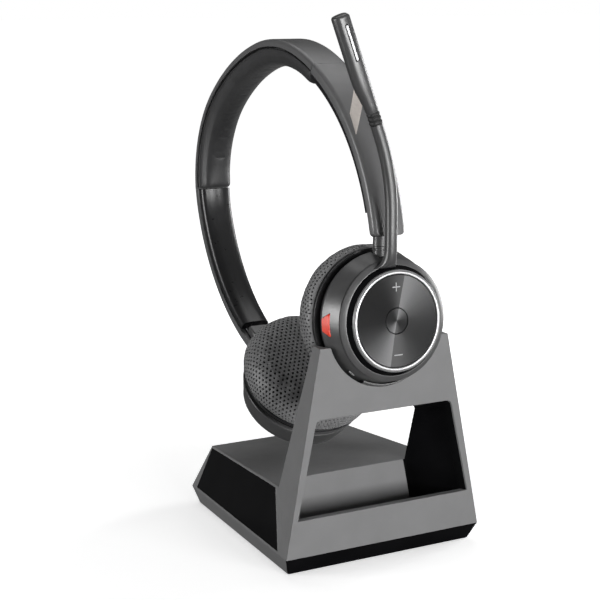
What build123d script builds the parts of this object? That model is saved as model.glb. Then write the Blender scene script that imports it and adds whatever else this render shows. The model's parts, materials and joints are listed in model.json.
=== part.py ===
from build123d import *
import os
from math import cos, radians, sin, sqrt

# Stereo office headset with an over-the-head band and a boom microphone, docked in its
# A-frame charging base.  Millimetres.  The origin is the centre of the base's underside:
# +Z up, -Y towards the front panel, +X to the right as seen from the front.

# ---- Charging base: outer form ------------------------------------------------------
BASE_WIDTH = 90.0  # across the front, at the widest line
BASE_DEPTH = 101.7
WIDEST_Z = 7.4  # height of the widest line, above the undercut
SIDE_SLOPE = 0.19  # half width lost per millimetre of height
PLAN_TAPER = 0.0785  # half width lost per millimetre towards the rear
FRONT_Y = -51.0
REAR_Y = FRONT_Y + BASE_DEPTH
UPRIGHT_TOP = 89.1
UPRIGHT_TOP_DEPTH = 8.0
PANEL_LEAN = 1.4 / (UPRIGHT_TOP - WIDEST_Z)
UPRIGHT_REAR_SLOPE = 0.158
DECK_FRONT = (-33.9, 31.5)  # top face of the rear body, as (y, z)
DECK_REAR = (36.0, 29.2)
LEG_INNER_REAR = {30.0: -26.6, 57.0: -35.5, 89.1: -43.0}  # z: y of the legs' inner rear edge
LEG_INNER_X = 24.5

# ---- Charging base: openings, walls and pieces --------------------------------------
FRONT_PLATE = 3.8
SILL_THICKNESS = 3.0
SILL_Z = 22.3
WINDOW_TOP_Z = 61.5
WINDOW_TOP_SLOPE = -0.31
WINDOW_TOP_X = 31.2  # half width at the top of the window's front edge
WINDOW_SIDE_NORMAL = (568.0, 327.0, 119.0)
WINDOW_FILLET = 3.0
LINER = 1.0
TRENCH_FLOOR_Z = 9.4
TRENCH_REAR_Y = -26.5
WALL = 2.0
INLAY_DEPTH = 0.8
INLAY_OUTLINE = [(-42.3, 8.2), (-31.3, 30.5), (35.7, 28.3), (45.3, 8.2)]
PAD_THICKNESS = 1.4
PAD_PROUD = 0.2
UNDERCUT_SIDE = 2.4
UNDERCUT_END = 3.5
BAY_HALF_WIDTH = 27.0
BAY_REAR_WALL_Y = 36.5
BAY_HEIGHT = (9.4, 21.5)
PORT_Z = 15.6
JACK_X = -17.0
PHONE_X = (1.0, 16.5)
BOSS_PLACES = [(30.5, 27.0), (-30.5, 27.0), (32.0, -17.0), (-32.0, -17.0)]
SCREW_SHANK_R = 1.2
SCREW_HOLE_R = 1.3
SCREW_HEAD_R = 2.6
PIN_Y = -44.4
PIN_X = (-5.0, 0.0, 5.0)
PIN_R = 1.05
DOCK_GAP = 0.35  # between a docked ear cup and its cradle

# ---- Ear cups: every revolved outline is a list of (radius, depth behind the face) --
FRONT_TILT = 4.85  # the face looks up by this many degrees
FRONT_FACE = (FRONT_Y - 7.3, 98.7)  # (y, z) of the face's centre
REAR_TILT = 52.5
REAR_PAD_CENTRE = (FRONT_Y + 59.7, 66.15)  # (y, z) of the rear cushion's widest circle
PAD_WIDEST_DEPTH = 27.0
SHELL_OUTLINE = [(23.8, 4.3), (26.3, 13.2), (27.3, 17.3)]
RING_BACK = 4.15  # depth of the boom ring's rear face, and its greatest radius
RING_R = 23.75
SHELL_WALL = 1.8
SHELL_SLOPE = 0.244  # radius gained per millimetre of depth in its rear half
HUB_R = 18.2
RUN_GAP = 0.1  # radial clearance of the turning ring
DISC_R = 17.6
TRIM_R = 19.35
TRIM_DEPTH = 1.6
CUSHION_R = 29.3
CUSHION_DEPTHS = (18.6, 34.0)
PIVOT_RADIUS = 21.5  # tilt axle of a cup, from the cup's own axis
PIVOT_DEPTH = 11.6
AXLE_R = 1.5
EYE_HALF_WIDTH = 2.3
BARREL_R = 2.5
SLOT_HALF_WIDTH = 2.7
MUTE_OUTLINE = [(-4.9, 9.4), (4.9, 9.4), (2.6, 13.2), (-2.6, 13.2)]  # (up, depth)
SWITCH_ANGLE = -129.4
SWITCH_DEPTH = 10.3
SWITCH_TRAVEL = 3.0
SWITCH_RADIUS = 24.5

# ---- Headband: tangent arcs of its outer line, (radius, turn), from the front end ---
BAND_START = (FRONT_Y - 0.84, 134.95)
BAND_START_HEADING = 12.43
BAND_ARCS = [(88.5, 60.3), (67.8, 33.1), (102.1, 26.1), (55.5, 65.3), (90.2, 48.2)]
FRONT_ARM = (9.9, 62.8)  # headings, in degrees from +Z towards +Y
CROWN = (62.8, 185.5)
REAR_ARM = (185.5, 246.5)
CROWN_WIDTH = 16.2
ARM_WIDTH = 15.4
ARM_INNER_WIDTH = 13.4
COVER_DEPTH = 4.0
ARM_DEPTH = 8.0
STRIP = (3.45, 4.65)  # depths of the sliding steel strip under the outer line
STRIP_WIDTH = 9.0
STRIP_LENGTH_DEG = 27.0
FRONT_STRIP_START = 14.5  # headings where the strips leave their roots
REAR_STRIP_END = 241.0
SLIDE_GAP = 0.2

# ---- Boom microphone ----------------------------------------------------------------
BOOM_Y = FRONT_Y - 7.0
BOOM_BASE = (-3.4, 119.6)  # (x, z)
BOOM_STRAIGHT_TOP = 140.0
BOOM_BEND_R = 85.0
BOOM_BEND = 20.7
BOOM_WIDTH = 5.0
BOOM_DEPTH = 4.4
MIC_LENGTH = 43.0
MIC_SHOULDER = 12.0
MIC_WIDTH = 7.4
MIC_DEPTH = 5.8
GRIP_LENGTH = 5.0

NODES = {}


def heading_point(heading, depth):
    """(y, z) of the point at this heading on the band's line, this deep under the outer line."""
    centre, radius = arc_at(heading)
    reach = radius - depth
    return centre[0] - reach * cos(radians(heading)), centre[1] + reach * sin(radians(heading))


def band_centres():
    """Centre, radius and headings of each arc of the band."""
    y, z = BAND_START
    heading = BAND_START_HEADING
    arcs = []
    for radius, turn in BAND_ARCS:
        a = radians(heading)
        centre = (y + radius * cos(a), z - radius * sin(a))
        arcs.append((centre, radius, heading, heading + turn))
        heading += turn
        a = radians(heading)
        y = centre[0] - radius * cos(a)
        z = centre[1] + radius * sin(a)
    return arcs


ARCS = band_centres()


def arc_at(heading):
    """Centre and radius of the arc that holds this heading; the end arcs run on past their ends."""
    for centre, radius, _, end in ARCS:
        if heading < end:
            return centre, radius
    return ARCS[-1][0], ARCS[-1][1]


def band(headings, depths, width, fillet=0.0):
    """A bent bar along the band's line: a rounded rectangle turned about each arc's centre."""
    start, end = headings
    pieces = []
    for index, (centre, radius, arc_start, arc_end) in enumerate(ARCS):
        low = start if index == 0 else max(start, arc_start)
        high = end if index == len(ARCS) - 1 else min(end, arc_end)
        if high - low < 0.01:
            continue
        a = radians(low)
        section_plane = Plane(
            origin=(0, centre[0], centre[1]), x_dir=(1, 0, 0), z_dir=(0, -sin(a), -cos(a))
        )
        thickness = depths[1] - depths[0]
        if fillet:
            outline = RectangleRounded(width, thickness, fillet)
        else:
            outline = Rectangle(width, thickness)
        section = section_plane * Pos(0, radius - (depths[0] + depths[1]) / 2) * outline
        axis = Axis((0, centre[0], centre[1]), (-1, 0, 0))
        pieces.append(revolve(section, axis, high - low))
    bar = pieces[0]
    for piece in pieces[1:]:
        bar += piece
    return bar


def prism(points, low_x=-60.0, high_x=60.0):
    """Solid between two x values whose side outline is the closed polygon of (y, z) points."""
    face = Plane.YZ * make_face(Polyline(*points, close=True))
    return Pos(low_x, 0, 0) * extrude(face, amount=high_x - low_x)


def block(x, y, z):
    """Box between the given (low, high) pairs."""
    size = [high - low for low, high in (x, y, z)]
    middle = [(high + low) / 2 for low, high in (x, y, z)]
    return Pos(*middle) * Box(*size)


def standing(radius, height):
    """Cylinder along the local Z axis, from the origin upwards."""
    return Cylinder(radius, height, align=(Align.CENTER, Align.CENTER, Align.MIN))


def post(x, y, z_low, z_high, radius):
    """Upright cylinder between two heights."""
    return Pos(x, y, z_low) * standing(radius, z_high - z_low)


def half_width(y, z):
    """Half the base's width at a height and depth."""
    return BASE_WIDTH / 2 - SIDE_SLOPE * (z - WIDEST_Z) - PLAN_TAPER * (y - FRONT_Y)


def panel_y(z):
    """Front face of the upright at a height."""
    return FRONT_Y + PANEL_LEAN * (z - WIDEST_Z)


def upright_rear(z):
    """Outer rear edge of the upright at a height."""
    return FRONT_Y + UPRIGHT_TOP_DEPTH + UPRIGHT_REAR_SLOPE * (UPRIGHT_TOP - z)


def deck_z(y):
    """Height of the rear body's top face."""
    (y0, z0), (y1, z1) = DECK_FRONT, DECK_REAR
    return z0 + (z1 - z0) * (y - y0) / (y1 - y0)


def cut_by_sides(shape, origin_x, origin_y, origin_z, normal, inset):
    """What lies between a plane and its mirror image, both moved inwards by inset."""
    for side in (1, -1):
        outward = Vector(side * normal[0], normal[1], normal[2]).normalized()
        origin = Vector(side * origin_x, origin_y, origin_z) - outward * inset
        shape = split(shape, bisect_by=Plane(origin=origin, z_dir=outward), keep=Keep.BOTTOM)
    return shape


def between_sides(shape, inset=0.0):
    """The part of a shape inside the base's two sloping side faces."""
    normal = (1.0, PLAN_TAPER, SIDE_SLOPE)
    return cut_by_sides(shape, BASE_WIDTH / 2, FRONT_Y, WIDEST_Z, normal, inset)


def is_window_corner(edge):
    """Whether an edge of the window's funnel is one of its two upper corners."""
    middle = edge.center()
    direction = edge.tangent_at(0.5)
    near_top = middle.Z > WINDOW_TOP_Z - 8
    near_side = abs(middle.X) > LEG_INNER_X - 4
    runs_back = abs(direction.X) < 0.9 and abs(direction.Y) > 0.5
    return near_top and near_side and runs_back and edge.length > 15


def window_space(grow, rear_y, low_z):
    """The funnel behind the window, from ahead of the panel to rear_y and down to low_z."""
    ahead = FRONT_Y - 4.0
    edge_y = panel_y(WINDOW_TOP_Z)
    sill_y = panel_y(SILL_Z) + SILL_THICKNESS
    top_front = WINDOW_TOP_Z + WINDOW_TOP_SLOPE * (ahead - edge_y) + grow
    top_rear = WINDOW_TOP_Z + WINDOW_TOP_SLOPE * (rear_y - edge_y) + grow
    outline = [
        (ahead, top_front),
        (rear_y, top_rear),
        (rear_y, low_z),
        (sill_y, low_z),
        (sill_y, SILL_Z),
        (ahead, SILL_Z),
    ]
    space = cut_by_sides(prism(outline), WINDOW_TOP_X, edge_y, WINDOW_TOP_Z, WINDOW_SIDE_NORMAL, -grow)
    corners = [edge for edge in space.edges() if is_window_corner(edge)]
    return fillet(corners, WINDOW_FILLET + grow)


def turned(*points):
    """Solid of revolution about the local Z axis from (radius, depth) points."""
    face = make_face(Polyline(*[(r, -d) for r, d in points], close=True))
    return revolve(Plane.XZ * face, Axis.Z)


def cup_plane(face_y, face_z, tilt, x_sign):
    """Frame of an ear cup: local Z points out of its face, local Y up along the face."""
    out = (0, -x_sign * cos(radians(tilt)), x_sign * sin(radians(tilt)))
    return Plane(origin=(0, face_y, face_z), x_dir=(x_sign, 0, 0), z_dir=out)


def rear_face_centre():
    """(y, z) of the rear cup's outer face, behind its cushion's widest circle."""
    y = REAR_PAD_CENTRE[0] + PAD_WIDEST_DEPTH * cos(radians(REAR_TILT))
    z = REAR_PAD_CENTRE[1] - PAD_WIDEST_DEPTH * sin(radians(REAR_TILT))
    return y, z


FRONT_CUP = cup_plane(FRONT_FACE[0], FRONT_FACE[1], FRONT_TILT, 1)
REAR_CUP = cup_plane(*rear_face_centre(), REAR_TILT, -1)


def shell_solid(grow=0.0, inner_hole=0.0):
    """Solid inside an ear cup's outer surface, moved outwards by grow."""
    outline = [(r + grow, d) for r, d in SHELL_OUTLINE]
    return turned((inner_hole, SHELL_OUTLINE[0][1]), *outline, (inner_hole, SHELL_OUTLINE[-1][1]))


# ---- Base ---------------------------------------------------------------------------

def upright_section(z, inner_y):
    """Plan section of the upright at a height."""
    front = panel_y(z)
    outer = upright_rear(z)
    right = [
        (half_width(front, z), front),
        (half_width(outer, z), outer),
        (LEG_INNER_X, inner_y),
    ]
    left = [(-x, y) for x, y in reversed(right)]
    return Pos(0, 0, z) * make_face(Polyline(*right, *left, close=True))


def upright_solid():
    """The whole A-shaped upright, before its window and its cradle are cut."""
    sections = [upright_section(z, y) for z, y in LEG_INNER_REAR.items()]
    upper = loft(sections, ruled=True)
    knee_z = DECK_FRONT[1]
    outline = [
        (FRONT_Y, WIDEST_Z),
        (panel_y(knee_z), knee_z),
        DECK_FRONT,
        (FRONT_Y + UPRIGHT_TOP_DEPTH, WIDEST_Z),
    ]
    lower = between_sides(prism(outline))
    return (upper - rear_body_solid()) + lower


def rear_body_solid(inset=0.0):
    """The low body behind the upright."""
    outline = [
        (FRONT_Y + UPRIGHT_TOP_DEPTH + inset, WIDEST_Z),
        (DECK_FRONT[0] + inset, DECK_FRONT[1] - inset),
        (DECK_REAR[0] - inset, DECK_REAR[1] - inset),
        (REAR_Y - 1.2 * inset, WIDEST_Z),
    ]
    return between_sides(prism(outline), inset)


def front_slab(thickness):
    """Everything ahead of a plane parallel to the front panel."""
    low, high = -5.0, UPRIGHT_TOP + 5.0
    ahead = FRONT_Y - 19.0
    outline = [
        (ahead, low),
        (panel_y(low) + thickness, low),
        (panel_y(high) + thickness, high),
        (ahead, high),
    ]
    return prism(outline)


def cradle_cutter():
    """The space that the docked ear cup and its cushion take out of the upright."""
    outline = [(0, -12), (26.0, -12), (26.1, 9), (28.2, 14), (28.6, 18.2), (30.9, 23), (30.9, 45), (0, 45)]
    return FRONT_CUP * turned(*outline)


def contact_pocket():
    """Room for the charging contacts under the cradle."""
    return block((-11.2, 11.2), (-47.3, -41.6), (63.6, 76.0))


def build_base_shells():
    """Front frame, upright back, window liner, rear housing and side inlays."""
    upright = upright_solid() - cradle_cutter() - contact_pocket()
    through = window_space(0.0, TRENCH_REAR_Y, TRENCH_FLOOR_Z)
    lined = window_space(LINER, TRENCH_REAR_Y, TRENCH_FLOOR_Z)
    behind_lip = lined - front_slab(0.6)
    NODES["front_frame"] = (upright & front_slab(FRONT_PLATE)) - through - behind_lip
    NODES["upright_back"] = upright - front_slab(FRONT_PLATE) - lined
    legs = upright_solid() + rear_body_solid()
    NODES["window_liner"] = ((behind_lip - through) & legs) - cradle_cutter() - contact_pocket()

    solid = rear_body_solid()
    trench_walls = window_space(LINER + WALL, TRENCH_REAR_Y + WALL, WIDEST_Z)
    bay = block((-BAY_HALF_WIDTH, BAY_HALF_WIDTH), (BAY_REAR_WALL_Y, 60), BAY_HEIGHT)
    bay_walls = block(
        (-BAY_HALF_WIDTH - WALL, BAY_HALF_WIDTH + WALL),
        (BAY_REAR_WALL_Y - WALL, 60),
        (WIDEST_Z, BAY_HEIGHT[1] + WALL),
    )
    cavity = rear_body_solid(WALL) - trench_walls - bay_walls
    housing = solid - cavity - lined - bay
    for x, y in BOSS_PLACES:
        housing += post(x, y, WIDEST_Z, deck_z(y) - WALL / 2, 3.4)
        housing -= post(x, y, WIDEST_Z, WIDEST_Z + 12, SCREW_HOLE_R)
    for hole in port_holes():
        housing -= hole
    inlay_prism = prism(INLAY_OUTLINE)
    inlays = between_sides(inlay_prism) - between_sides(inlay_prism, INLAY_DEPTH)
    NODES["rear_housing"] = housing - inlays
    NODES["left_side_inlay"] = inlays & block((-60, 0), (-60, 60), (0, 90))
    NODES["right_side_inlay"] = inlays & block((0, 60), (-60, 60), (0, 90))


def base_outline(z, side, end):
    """Plan outline of the base at its widest line, pulled in at the sides and ends."""
    front_y = FRONT_Y + end
    rear_y = REAR_Y - end
    front_x = half_width(front_y, WIDEST_Z) - side
    rear_x = half_width(rear_y, WIDEST_Z) - side
    points = [(front_x, front_y), (rear_x, rear_y), (-rear_x, rear_y), (-front_x, front_y)]
    return Pos(0, 0, z) * make_face(Polyline(*points, close=True))


def build_base_bottom():
    """Tray, front strip, anti-slip pad, screws and the weight inside."""
    outer_low = base_outline(PAD_PROUD, UNDERCUT_SIDE, UNDERCUT_END)
    outer = loft([outer_low, base_outline(WIDEST_Z, 0, 0)], ruled=True)
    inner_low = base_outline(2.8, UNDERCUT_SIDE + WALL, UNDERCUT_END + WALL)
    inner = loft([inner_low, base_outline(WIDEST_Z, WALL + 0.4, WALL + 0.6)], ruled=True)
    pad_inset = 6.0
    pad_hole = extrude(base_outline(0, pad_inset, pad_inset + 1), PAD_THICKNESS)
    tray = outer - inner - pad_hole
    strip_outline = [
        (FRONT_Y - 2, WIDEST_Z),
        (FRONT_Y + 1.0, WIDEST_Z),
        (FRONT_Y + UNDERCUT_END + 1.0, PAD_PROUD),
        (FRONT_Y - 2, PAD_PROUD),
    ]
    strip = outer & prism(strip_outline)
    tray -= strip
    for x, y in BOSS_PLACES:
        tray += post(x, y, PAD_THICKNESS + 1, WIDEST_Z, 4.2)
        tray -= post(x, y, 0, WIDEST_Z, SCREW_HOLE_R + 0.1)
        tray -= post(x, y, 0, PAD_THICKNESS + 2.4, SCREW_HEAD_R + 0.2)
    NODES["front_strip"] = strip
    NODES["anti_slip_pad"] = extrude(base_outline(0, pad_inset + 0.1, pad_inset + 1.1), PAD_THICKNESS)
    screws = []
    for x, y in BOSS_PLACES:
        head = post(x, y, PAD_THICKNESS + 0.4, PAD_THICKNESS + 2.4, SCREW_HEAD_R)
        screws.append(head + post(x, y, PAD_THICKNESS + 0.4, WIDEST_Z + 9, SCREW_SHANK_R))
    NODES["base_screws"] = Compound(screws)
    board_low = 11.0
    for x, y in ((20, 16), (-20, 16), (20, -14), (-20, -14)):
        tray += post(x, y, 2.6, board_low, 2.6)
    NODES["base_tray"] = tray
    NODES["base_weight"] = block((-15, 15), (-17, 19), (2.9, 6.4))
    board = block((-24, 24), (-18, 20), (board_low, board_low + 1.6))
    chip = block((-5, 5), (-5, 5), (board_low + 1.6, board_low + 3.0))
    can = block((9, 21), (-8, 6), (board_low + 1.6, board_low + 4.0))
    NODES["base_board"] = board + chip + can


def port_holes():
    """Cut-outs in the rear bay's wall: power jack and two phone sockets."""
    wall = (BAY_REAR_WALL_Y - WALL - 1, BAY_REAR_WALL_Y + 1)
    round_hole = Pos(JACK_X, BAY_REAR_WALL_Y, PORT_Z) * Rot(90, 0, 0) * Cylinder(4.2, 8)
    phone_holes = [block((x - 6.6, x + 6.6), wall, (PORT_Z - 5.1, PORT_Z + 5.1)) for x in PHONE_X]
    return [round_hole, *phone_holes]


def build_ports():
    """Sockets behind the rear bay."""
    face = BAY_REAR_WALL_Y
    jack = block((JACK_X - 5, JACK_X + 5), (23, 34.4), (PORT_Z - 5, PORT_Z + 5))
    jack += Pos(JACK_X, face - 1.1, PORT_Z) * Rot(90, 0, 0) * Cylinder(4.1, 2.2)
    jack -= Pos(JACK_X, face - 4.5, PORT_Z) * Rot(90, 0, 0) * Cylinder(2.9, 9.1)
    jack += Pos(JACK_X, face - 5.5, PORT_Z) * Rot(90, 0, 0) * Cylinder(1.0, 8)
    NODES["power_jack"] = jack
    sockets = []
    for x in PHONE_X:
        socket = block((x - 6.5, x + 6.5), (21, face), (PORT_Z - 5.0, PORT_Z + 5.0))
        socket -= block((x - 5.2, x + 5.2), (23, face + 1), (PORT_Z - 4.0, PORT_Z + 3.6))
        sockets.append(socket)
    NODES["phone_sockets"] = Compound(sockets)


def shell_bottom_z(x):
    """Height of the docked cup's underside above the charging pins."""
    depth = 16.2
    radius = SHELL_OUTLINE[1][0] + (depth - SHELL_OUTLINE[1][1]) * SHELL_SLOPE
    tilt = radians(FRONT_TILT)
    return FRONT_FACE[1] - sqrt(radius**2 - x**2) * cos(tilt) - depth * sin(tilt)


def build_contacts():
    """Cradle, contact block and sprung pins."""
    inner = [(r + DOCK_GAP, d) for r, d in [(25.1, 8.9), SHELL_OUTLINE[1], (27.1, 16.6)]]
    outer = [(28.35, 16.6), (28.15, 14), (26.2, 9.2), (26.05, 8.9)]
    saddle = FRONT_CUP * turned(*inner, *outer)
    saddle &= block((-11.0, 11.0), (-60, -30), (60, 90))
    for x in PIN_X:
        saddle -= post(x, PIN_Y, 60, 80, PIN_R + 0.25)
    NODES["cradle_saddle"] = saddle
    holder = block((-11, 11), (-47.1, -41.8), (66.0, 69.0))
    for x in PIN_X:
        holder -= post(x, PIN_Y, 60, 80, PIN_R + 0.06)
    NODES["contact_block"] = holder
    pins = []
    for x in PIN_X:
        top = shell_bottom_z(x) - 0.4
        pin = post(x, PIN_Y, 65.0, top - 0.8, PIN_R) + post(x, PIN_Y, 65.0, 65.7, PIN_R + 0.5)
        pins.append(pin + post(x, PIN_Y, top - 0.9, top, 0.6))
    NODES["charging_pins"] = Compound(pins)


# ---- Ear cups -----------------------------------------------------------------------

def axle_cylinder(radius, half_length):
    """Cylinder along the local X axis at a cup's tilt pivot."""
    return Pos(0, PIVOT_RADIUS, -PIVOT_DEPTH) * Rot(0, 90, 0) * Cylinder(radius, 2 * half_length)


def pivot_slot():
    """Opening at the top of a cup through which its knuckle stands."""
    return block((-SLOT_HALF_WIDTH, SLOT_HALF_WIDTH), (16.5, 32), (-14.9, -5.9))


def cup_shell(plane, hub):
    """Moulded shell of an ear cup, with two ears for the tilt axle."""
    (r0, d0), (r1, d1), (r2, d2) = SHELL_OUTLINE
    front_wall = d0 + SHELL_WALL
    inner = [(r2 - SHELL_WALL, d2), (r1 - SHELL_WALL, d1), (r0 - 0.8, front_wall)]
    if hub:
        rim = [(HUB_R - 1.2, front_wall), (HUB_R - 1.2, TRIM_DEPTH), (HUB_R, TRIM_DEPTH), (HUB_R, d0)]
    else:
        rim = [(HUB_R + 1, front_wall), (HUB_R + 1, d0)]
    shell = turned(*SHELL_OUTLINE, *inner, *rim)
    ear_low, ear_high = SLOT_HALF_WIDTH, 5.6
    for side in (1, -1):
        ear = Pos(side * (ear_low + ear_high) / 2, PIVOT_RADIUS, -PIVOT_DEPTH) * Rot(0, 90, 0)
        shell += (ear * Cylinder(3.1, ear_high - ear_low)) & shell_solid(-0.2)
    shell -= axle_cylinder(AXLE_R, ear_high)
    shell -= pivot_slot()
    return plane * shell


def build_cup_inside(prefix, plane):
    """Speaker and its baffle, the cushion and its clip ring, and the tilt axle."""
    parts = {
        "driver": turned((0, 10.8), (9, 10.8), (9, 12.4), (15.8, 13.6), (15.8, 16.6), (0, 16.6)),
        "baffle": turned((16.0, 15.6), (24.8, 15.6), (24.8, 17.3), (16.0, 17.3)),
        "cushion_ring": turned((17, 17.4), (27.3, 17.4), (27.3, 18.4), (17, 18.4)),
        "tilt_axle": axle_cylinder(AXLE_R, 5.5),
    }
    for name, shape in parts.items():
        NODES[prefix + name] = plane * shape
    low, high = CUSHION_DEPTHS
    edge = 6.5
    middle = PAD_WIDEST_DEPTH
    bevel = [(0, low), (CUSHION_R - 2.2, low), (CUSHION_R, middle - 2), (CUSHION_R, middle + 1)]
    shoulder = (CUSHION_R - edge * 0.45, high - edge * 0.35)
    crown = [shoulder, (CUSHION_R - edge, high), (9, high), (0, high - 3)]
    NODES[prefix + "cushion"] = plane * turned(*bevel, *crown)


def mute_prism(grow, outer_grow):
    """Wedge through the cup's left side, grown all round, out to the shell's surface plus outer_grow."""
    points = [(y + (grow if y > 0 else -grow), -(d + (grow if d > 11 else -grow))) for y, d in MUTE_OUTLINE]
    wedge = extrude(Plane.YZ * make_face(Polyline(*points, close=True)), amount=-40)
    return wedge & shell_solid(outer_grow)


def switch_frame():
    """Local frame at the power switch: X outwards, Y along its travel."""
    return Rot(0, 0, SWITCH_ANGLE) * Pos(0, 0, -SWITCH_DEPTH)


def build_front_cup():
    """Shell, trim ring, controls' boards, contacts and the moving controls."""
    shell = cup_shell(FRONT_CUP, hub=True)
    shell -= FRONT_CUP * mute_prism(0.2, 1.0)
    travel_middle = SWITCH_TRAVEL / 2
    slot = switch_frame() * Pos(SWITCH_RADIUS, travel_middle, 0) * Box(8, 3.2 + SWITCH_TRAVEL, 2.8)
    shell -= FRONT_CUP * slot
    skin = FRONT_CUP * (shell_solid() - shell_solid(-0.7))
    contacts = [post(x, PIN_Y, 60, 80, 1.6) & skin for x in PIN_X]
    for contact in contacts:
        shell -= contact
    NODES["front_cup_shell"] = shell
    NODES["charging_contacts"] = Compound(contacts)
    trim_inner_r = 17.85
    outer = [(TRIM_R, 0), (TRIM_R, TRIM_DEPTH)]
    NODES["trim_ring"] = FRONT_CUP * turned((trim_inner_r, 0), *outer, (trim_inner_r, TRIM_DEPTH))
    mute_core = shell_solid() - shell_solid(-3.2)
    button = mute_prism(0.0, 0.35) & (mute_core + (shell_solid(0.35) - shell_solid(-3.2)))
    NODES["mute_button"] = FRONT_CUP * button
    switch = Box(2.6, 3.0, 2.4)
    NODES["power_switch"] = FRONT_CUP * (switch_frame() * Pos(SWITCH_RADIUS, 0, 0) * switch)
    board = turned((0, 4.0), (16.8, 4.0), (16.8, 5.0), (0, 5.0))
    domes = [Pos(0, y, -3.5) * Cylinder(2, 1.0) for y in (11, 0, -11)]
    for dome in domes:
        board += dome
    NODES["button_board"] = FRONT_CUP * board


def build_disc():
    """Rocking volume disc with its plus and minus marks, and the call button at its centre."""
    disc = turned((5.1, 0.9), (DISC_R, 0.35), (DISC_R, 1.1), (5.1, 1.9))
    mark_y = 13.6
    plus = Box(2.8, 0.5, 0.5) + Box(0.5, 2.8, 0.5)
    minus = Box(2.8, 0.5, 0.5)
    marks = [Pos(0, mark_y, -0.6) * plus, Pos(0, -mark_y, -0.6) * minus]
    for mark in marks:
        disc -= mark
    NODES["volume_disc"] = FRONT_CUP * disc
    NODES["volume_marks"] = FRONT_CUP * Compound(marks)
    button = turned((0, 0.9), (4.6, 0.7), (4.9, 1.0), (4.9, 2.5), (0, 2.5))
    NODES["call_button"] = FRONT_CUP * button


def build_rear_cup():
    """Rear shell with its plain cap, and the battery inside."""
    NODES["rear_cup_shell"] = cup_shell(REAR_CUP, hub=False)
    outer = [(0, 0.6), (17.5, 0.9), (19.7, 1.6), (RING_R, RING_BACK)]
    inner = [(21.0, RING_BACK), (18.4, 3.0), (0, 2.4)]
    NODES["rear_cup_cap"] = REAR_CUP * turned(*outer, *inner)
    NODES["battery"] = REAR_CUP * block((-12, 12), (-11, 7), (-9.2, -4.0))


# ---- Boom microphone ----------------------------------------------------------------

def boom_section(plane):
    """Cross-section of the boom's stalk."""
    return plane * Ellipse(BOOM_WIDTH / 2, BOOM_DEPTH / 2)


def boom_tip_plane():
    """Frame where the boom's bend ends, Z along the boom."""
    x, _ = BOOM_BASE
    a = radians(BOOM_BEND)
    tip_x = x - BOOM_BEND_R * (1 - cos(a))
    tip_z = BOOM_STRAIGHT_TOP + BOOM_BEND_R * sin(a)
    return Plane(origin=(tip_x, BOOM_Y, tip_z), x_dir=(cos(a), 0, sin(a)), z_dir=(-sin(a), 0, cos(a)))


def build_boom():
    """Turning ring, bent stalk, rubber grip, microphone housing, its grille and capsule."""
    ring = turned(
        (HUB_R + RUN_GAP, TRIM_DEPTH + 0.15),
        (TRIM_R + RUN_GAP, TRIM_DEPTH + 0.15),
        (TRIM_R + RUN_GAP, 0.25),
        (TRIM_R + 0.35, 0.25),
        (RING_R, RING_BACK - 0.15),
        (RING_R, RING_BACK),
        (HUB_R + RUN_GAP, RING_BACK),
    )
    x, z = BOOM_BASE
    straight = extrude(boom_section(Plane((x, BOOM_Y, z))), BOOM_STRAIGHT_TOP - z)
    bend_start = Plane((x, BOOM_Y, BOOM_STRAIGHT_TOP))
    bend_axis = Axis((x - BOOM_BEND_R, BOOM_Y, BOOM_STRAIGHT_TOP), (0, -1, 0))
    bend = revolve(boom_section(bend_start), bend_axis, BOOM_BEND)
    tip = boom_tip_plane()
    stalk_top = 4.6
    stalk = straight + bend + extrude(boom_section(tip), stalk_top)
    inner_r = TRIM_R + 0.3
    outer_r = RING_R + 0.1
    ahead = -6
    front_side = turned((0, ahead), (outer_r, ahead), (outer_r, RING_BACK), (0, RING_BACK))
    NODES["boom_arm"] = stalk - FRONT_CUP * front_side
    half = BOOM_WIDTH / 2
    foot = block((x - half, x + half), (BOOM_Y - BOOM_DEPTH / 2, BOOM_Y + 5), (z - 3, z + 5))
    foot &= FRONT_CUP * (front_side - turned((0, ahead), (inner_r, ahead), (inner_r, 6), (0, 6)))
    NODES["boom_ring"] = FRONT_CUP * ring + foot
    grip_section = tip * (Pos(0, 0, stalk_top) * Ellipse(BOOM_WIDTH / 2 + 0.3, BOOM_DEPTH / 2 + 0.3))
    NODES["boom_grip"] = extrude(grip_section, GRIP_LENGTH, dir=tip.z_dir)
    shoulder_low = stalk_top + GRIP_LENGTH
    low = tip * (Pos(0, 0, shoulder_low) * Ellipse(BOOM_WIDTH / 2 + 0.2, BOOM_DEPTH / 2 + 0.2))
    high = tip * (Pos(0, 0, shoulder_low + MIC_SHOULDER) * Ellipse(MIC_WIDTH / 2, MIC_DEPTH / 2))
    body_length = MIC_LENGTH - MIC_SHOULDER - GRIP_LENGTH
    housing = loft([low, high]) + extrude(high, body_length, dir=tip.z_dir)
    end_edge = housing.edges().sort_by(Axis(tip.origin, tip.z_dir))[-1]
    housing = fillet(end_edge, 2.0)
    slot_middle = shoulder_low + MIC_SHOULDER + body_length - 9.5
    slot = tip * (Pos(0, -MIC_DEPTH / 2, slot_middle) * Box(1.4, 1.6, 13.0))
    capsule = tip * (Pos(0, 0, slot_middle) * Rot(90, 0, 0) * Cylinder(1.9, 2.0))
    NODES["mic_grille"] = slot & housing
    NODES["mic_housing"] = housing - slot - capsule
    NODES["mic_capsule"] = capsule


# ---- Headband -----------------------------------------------------------------------

def radial_plane(heading, depth):
    """Frame on the band with Z pointing outwards from the arc's centre."""
    y, z = heading_point(heading, depth)
    a = radians(heading)
    return Plane(origin=(0, y, z), x_dir=(1, 0, 0), z_dir=(0, -cos(a), sin(a)))


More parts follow.
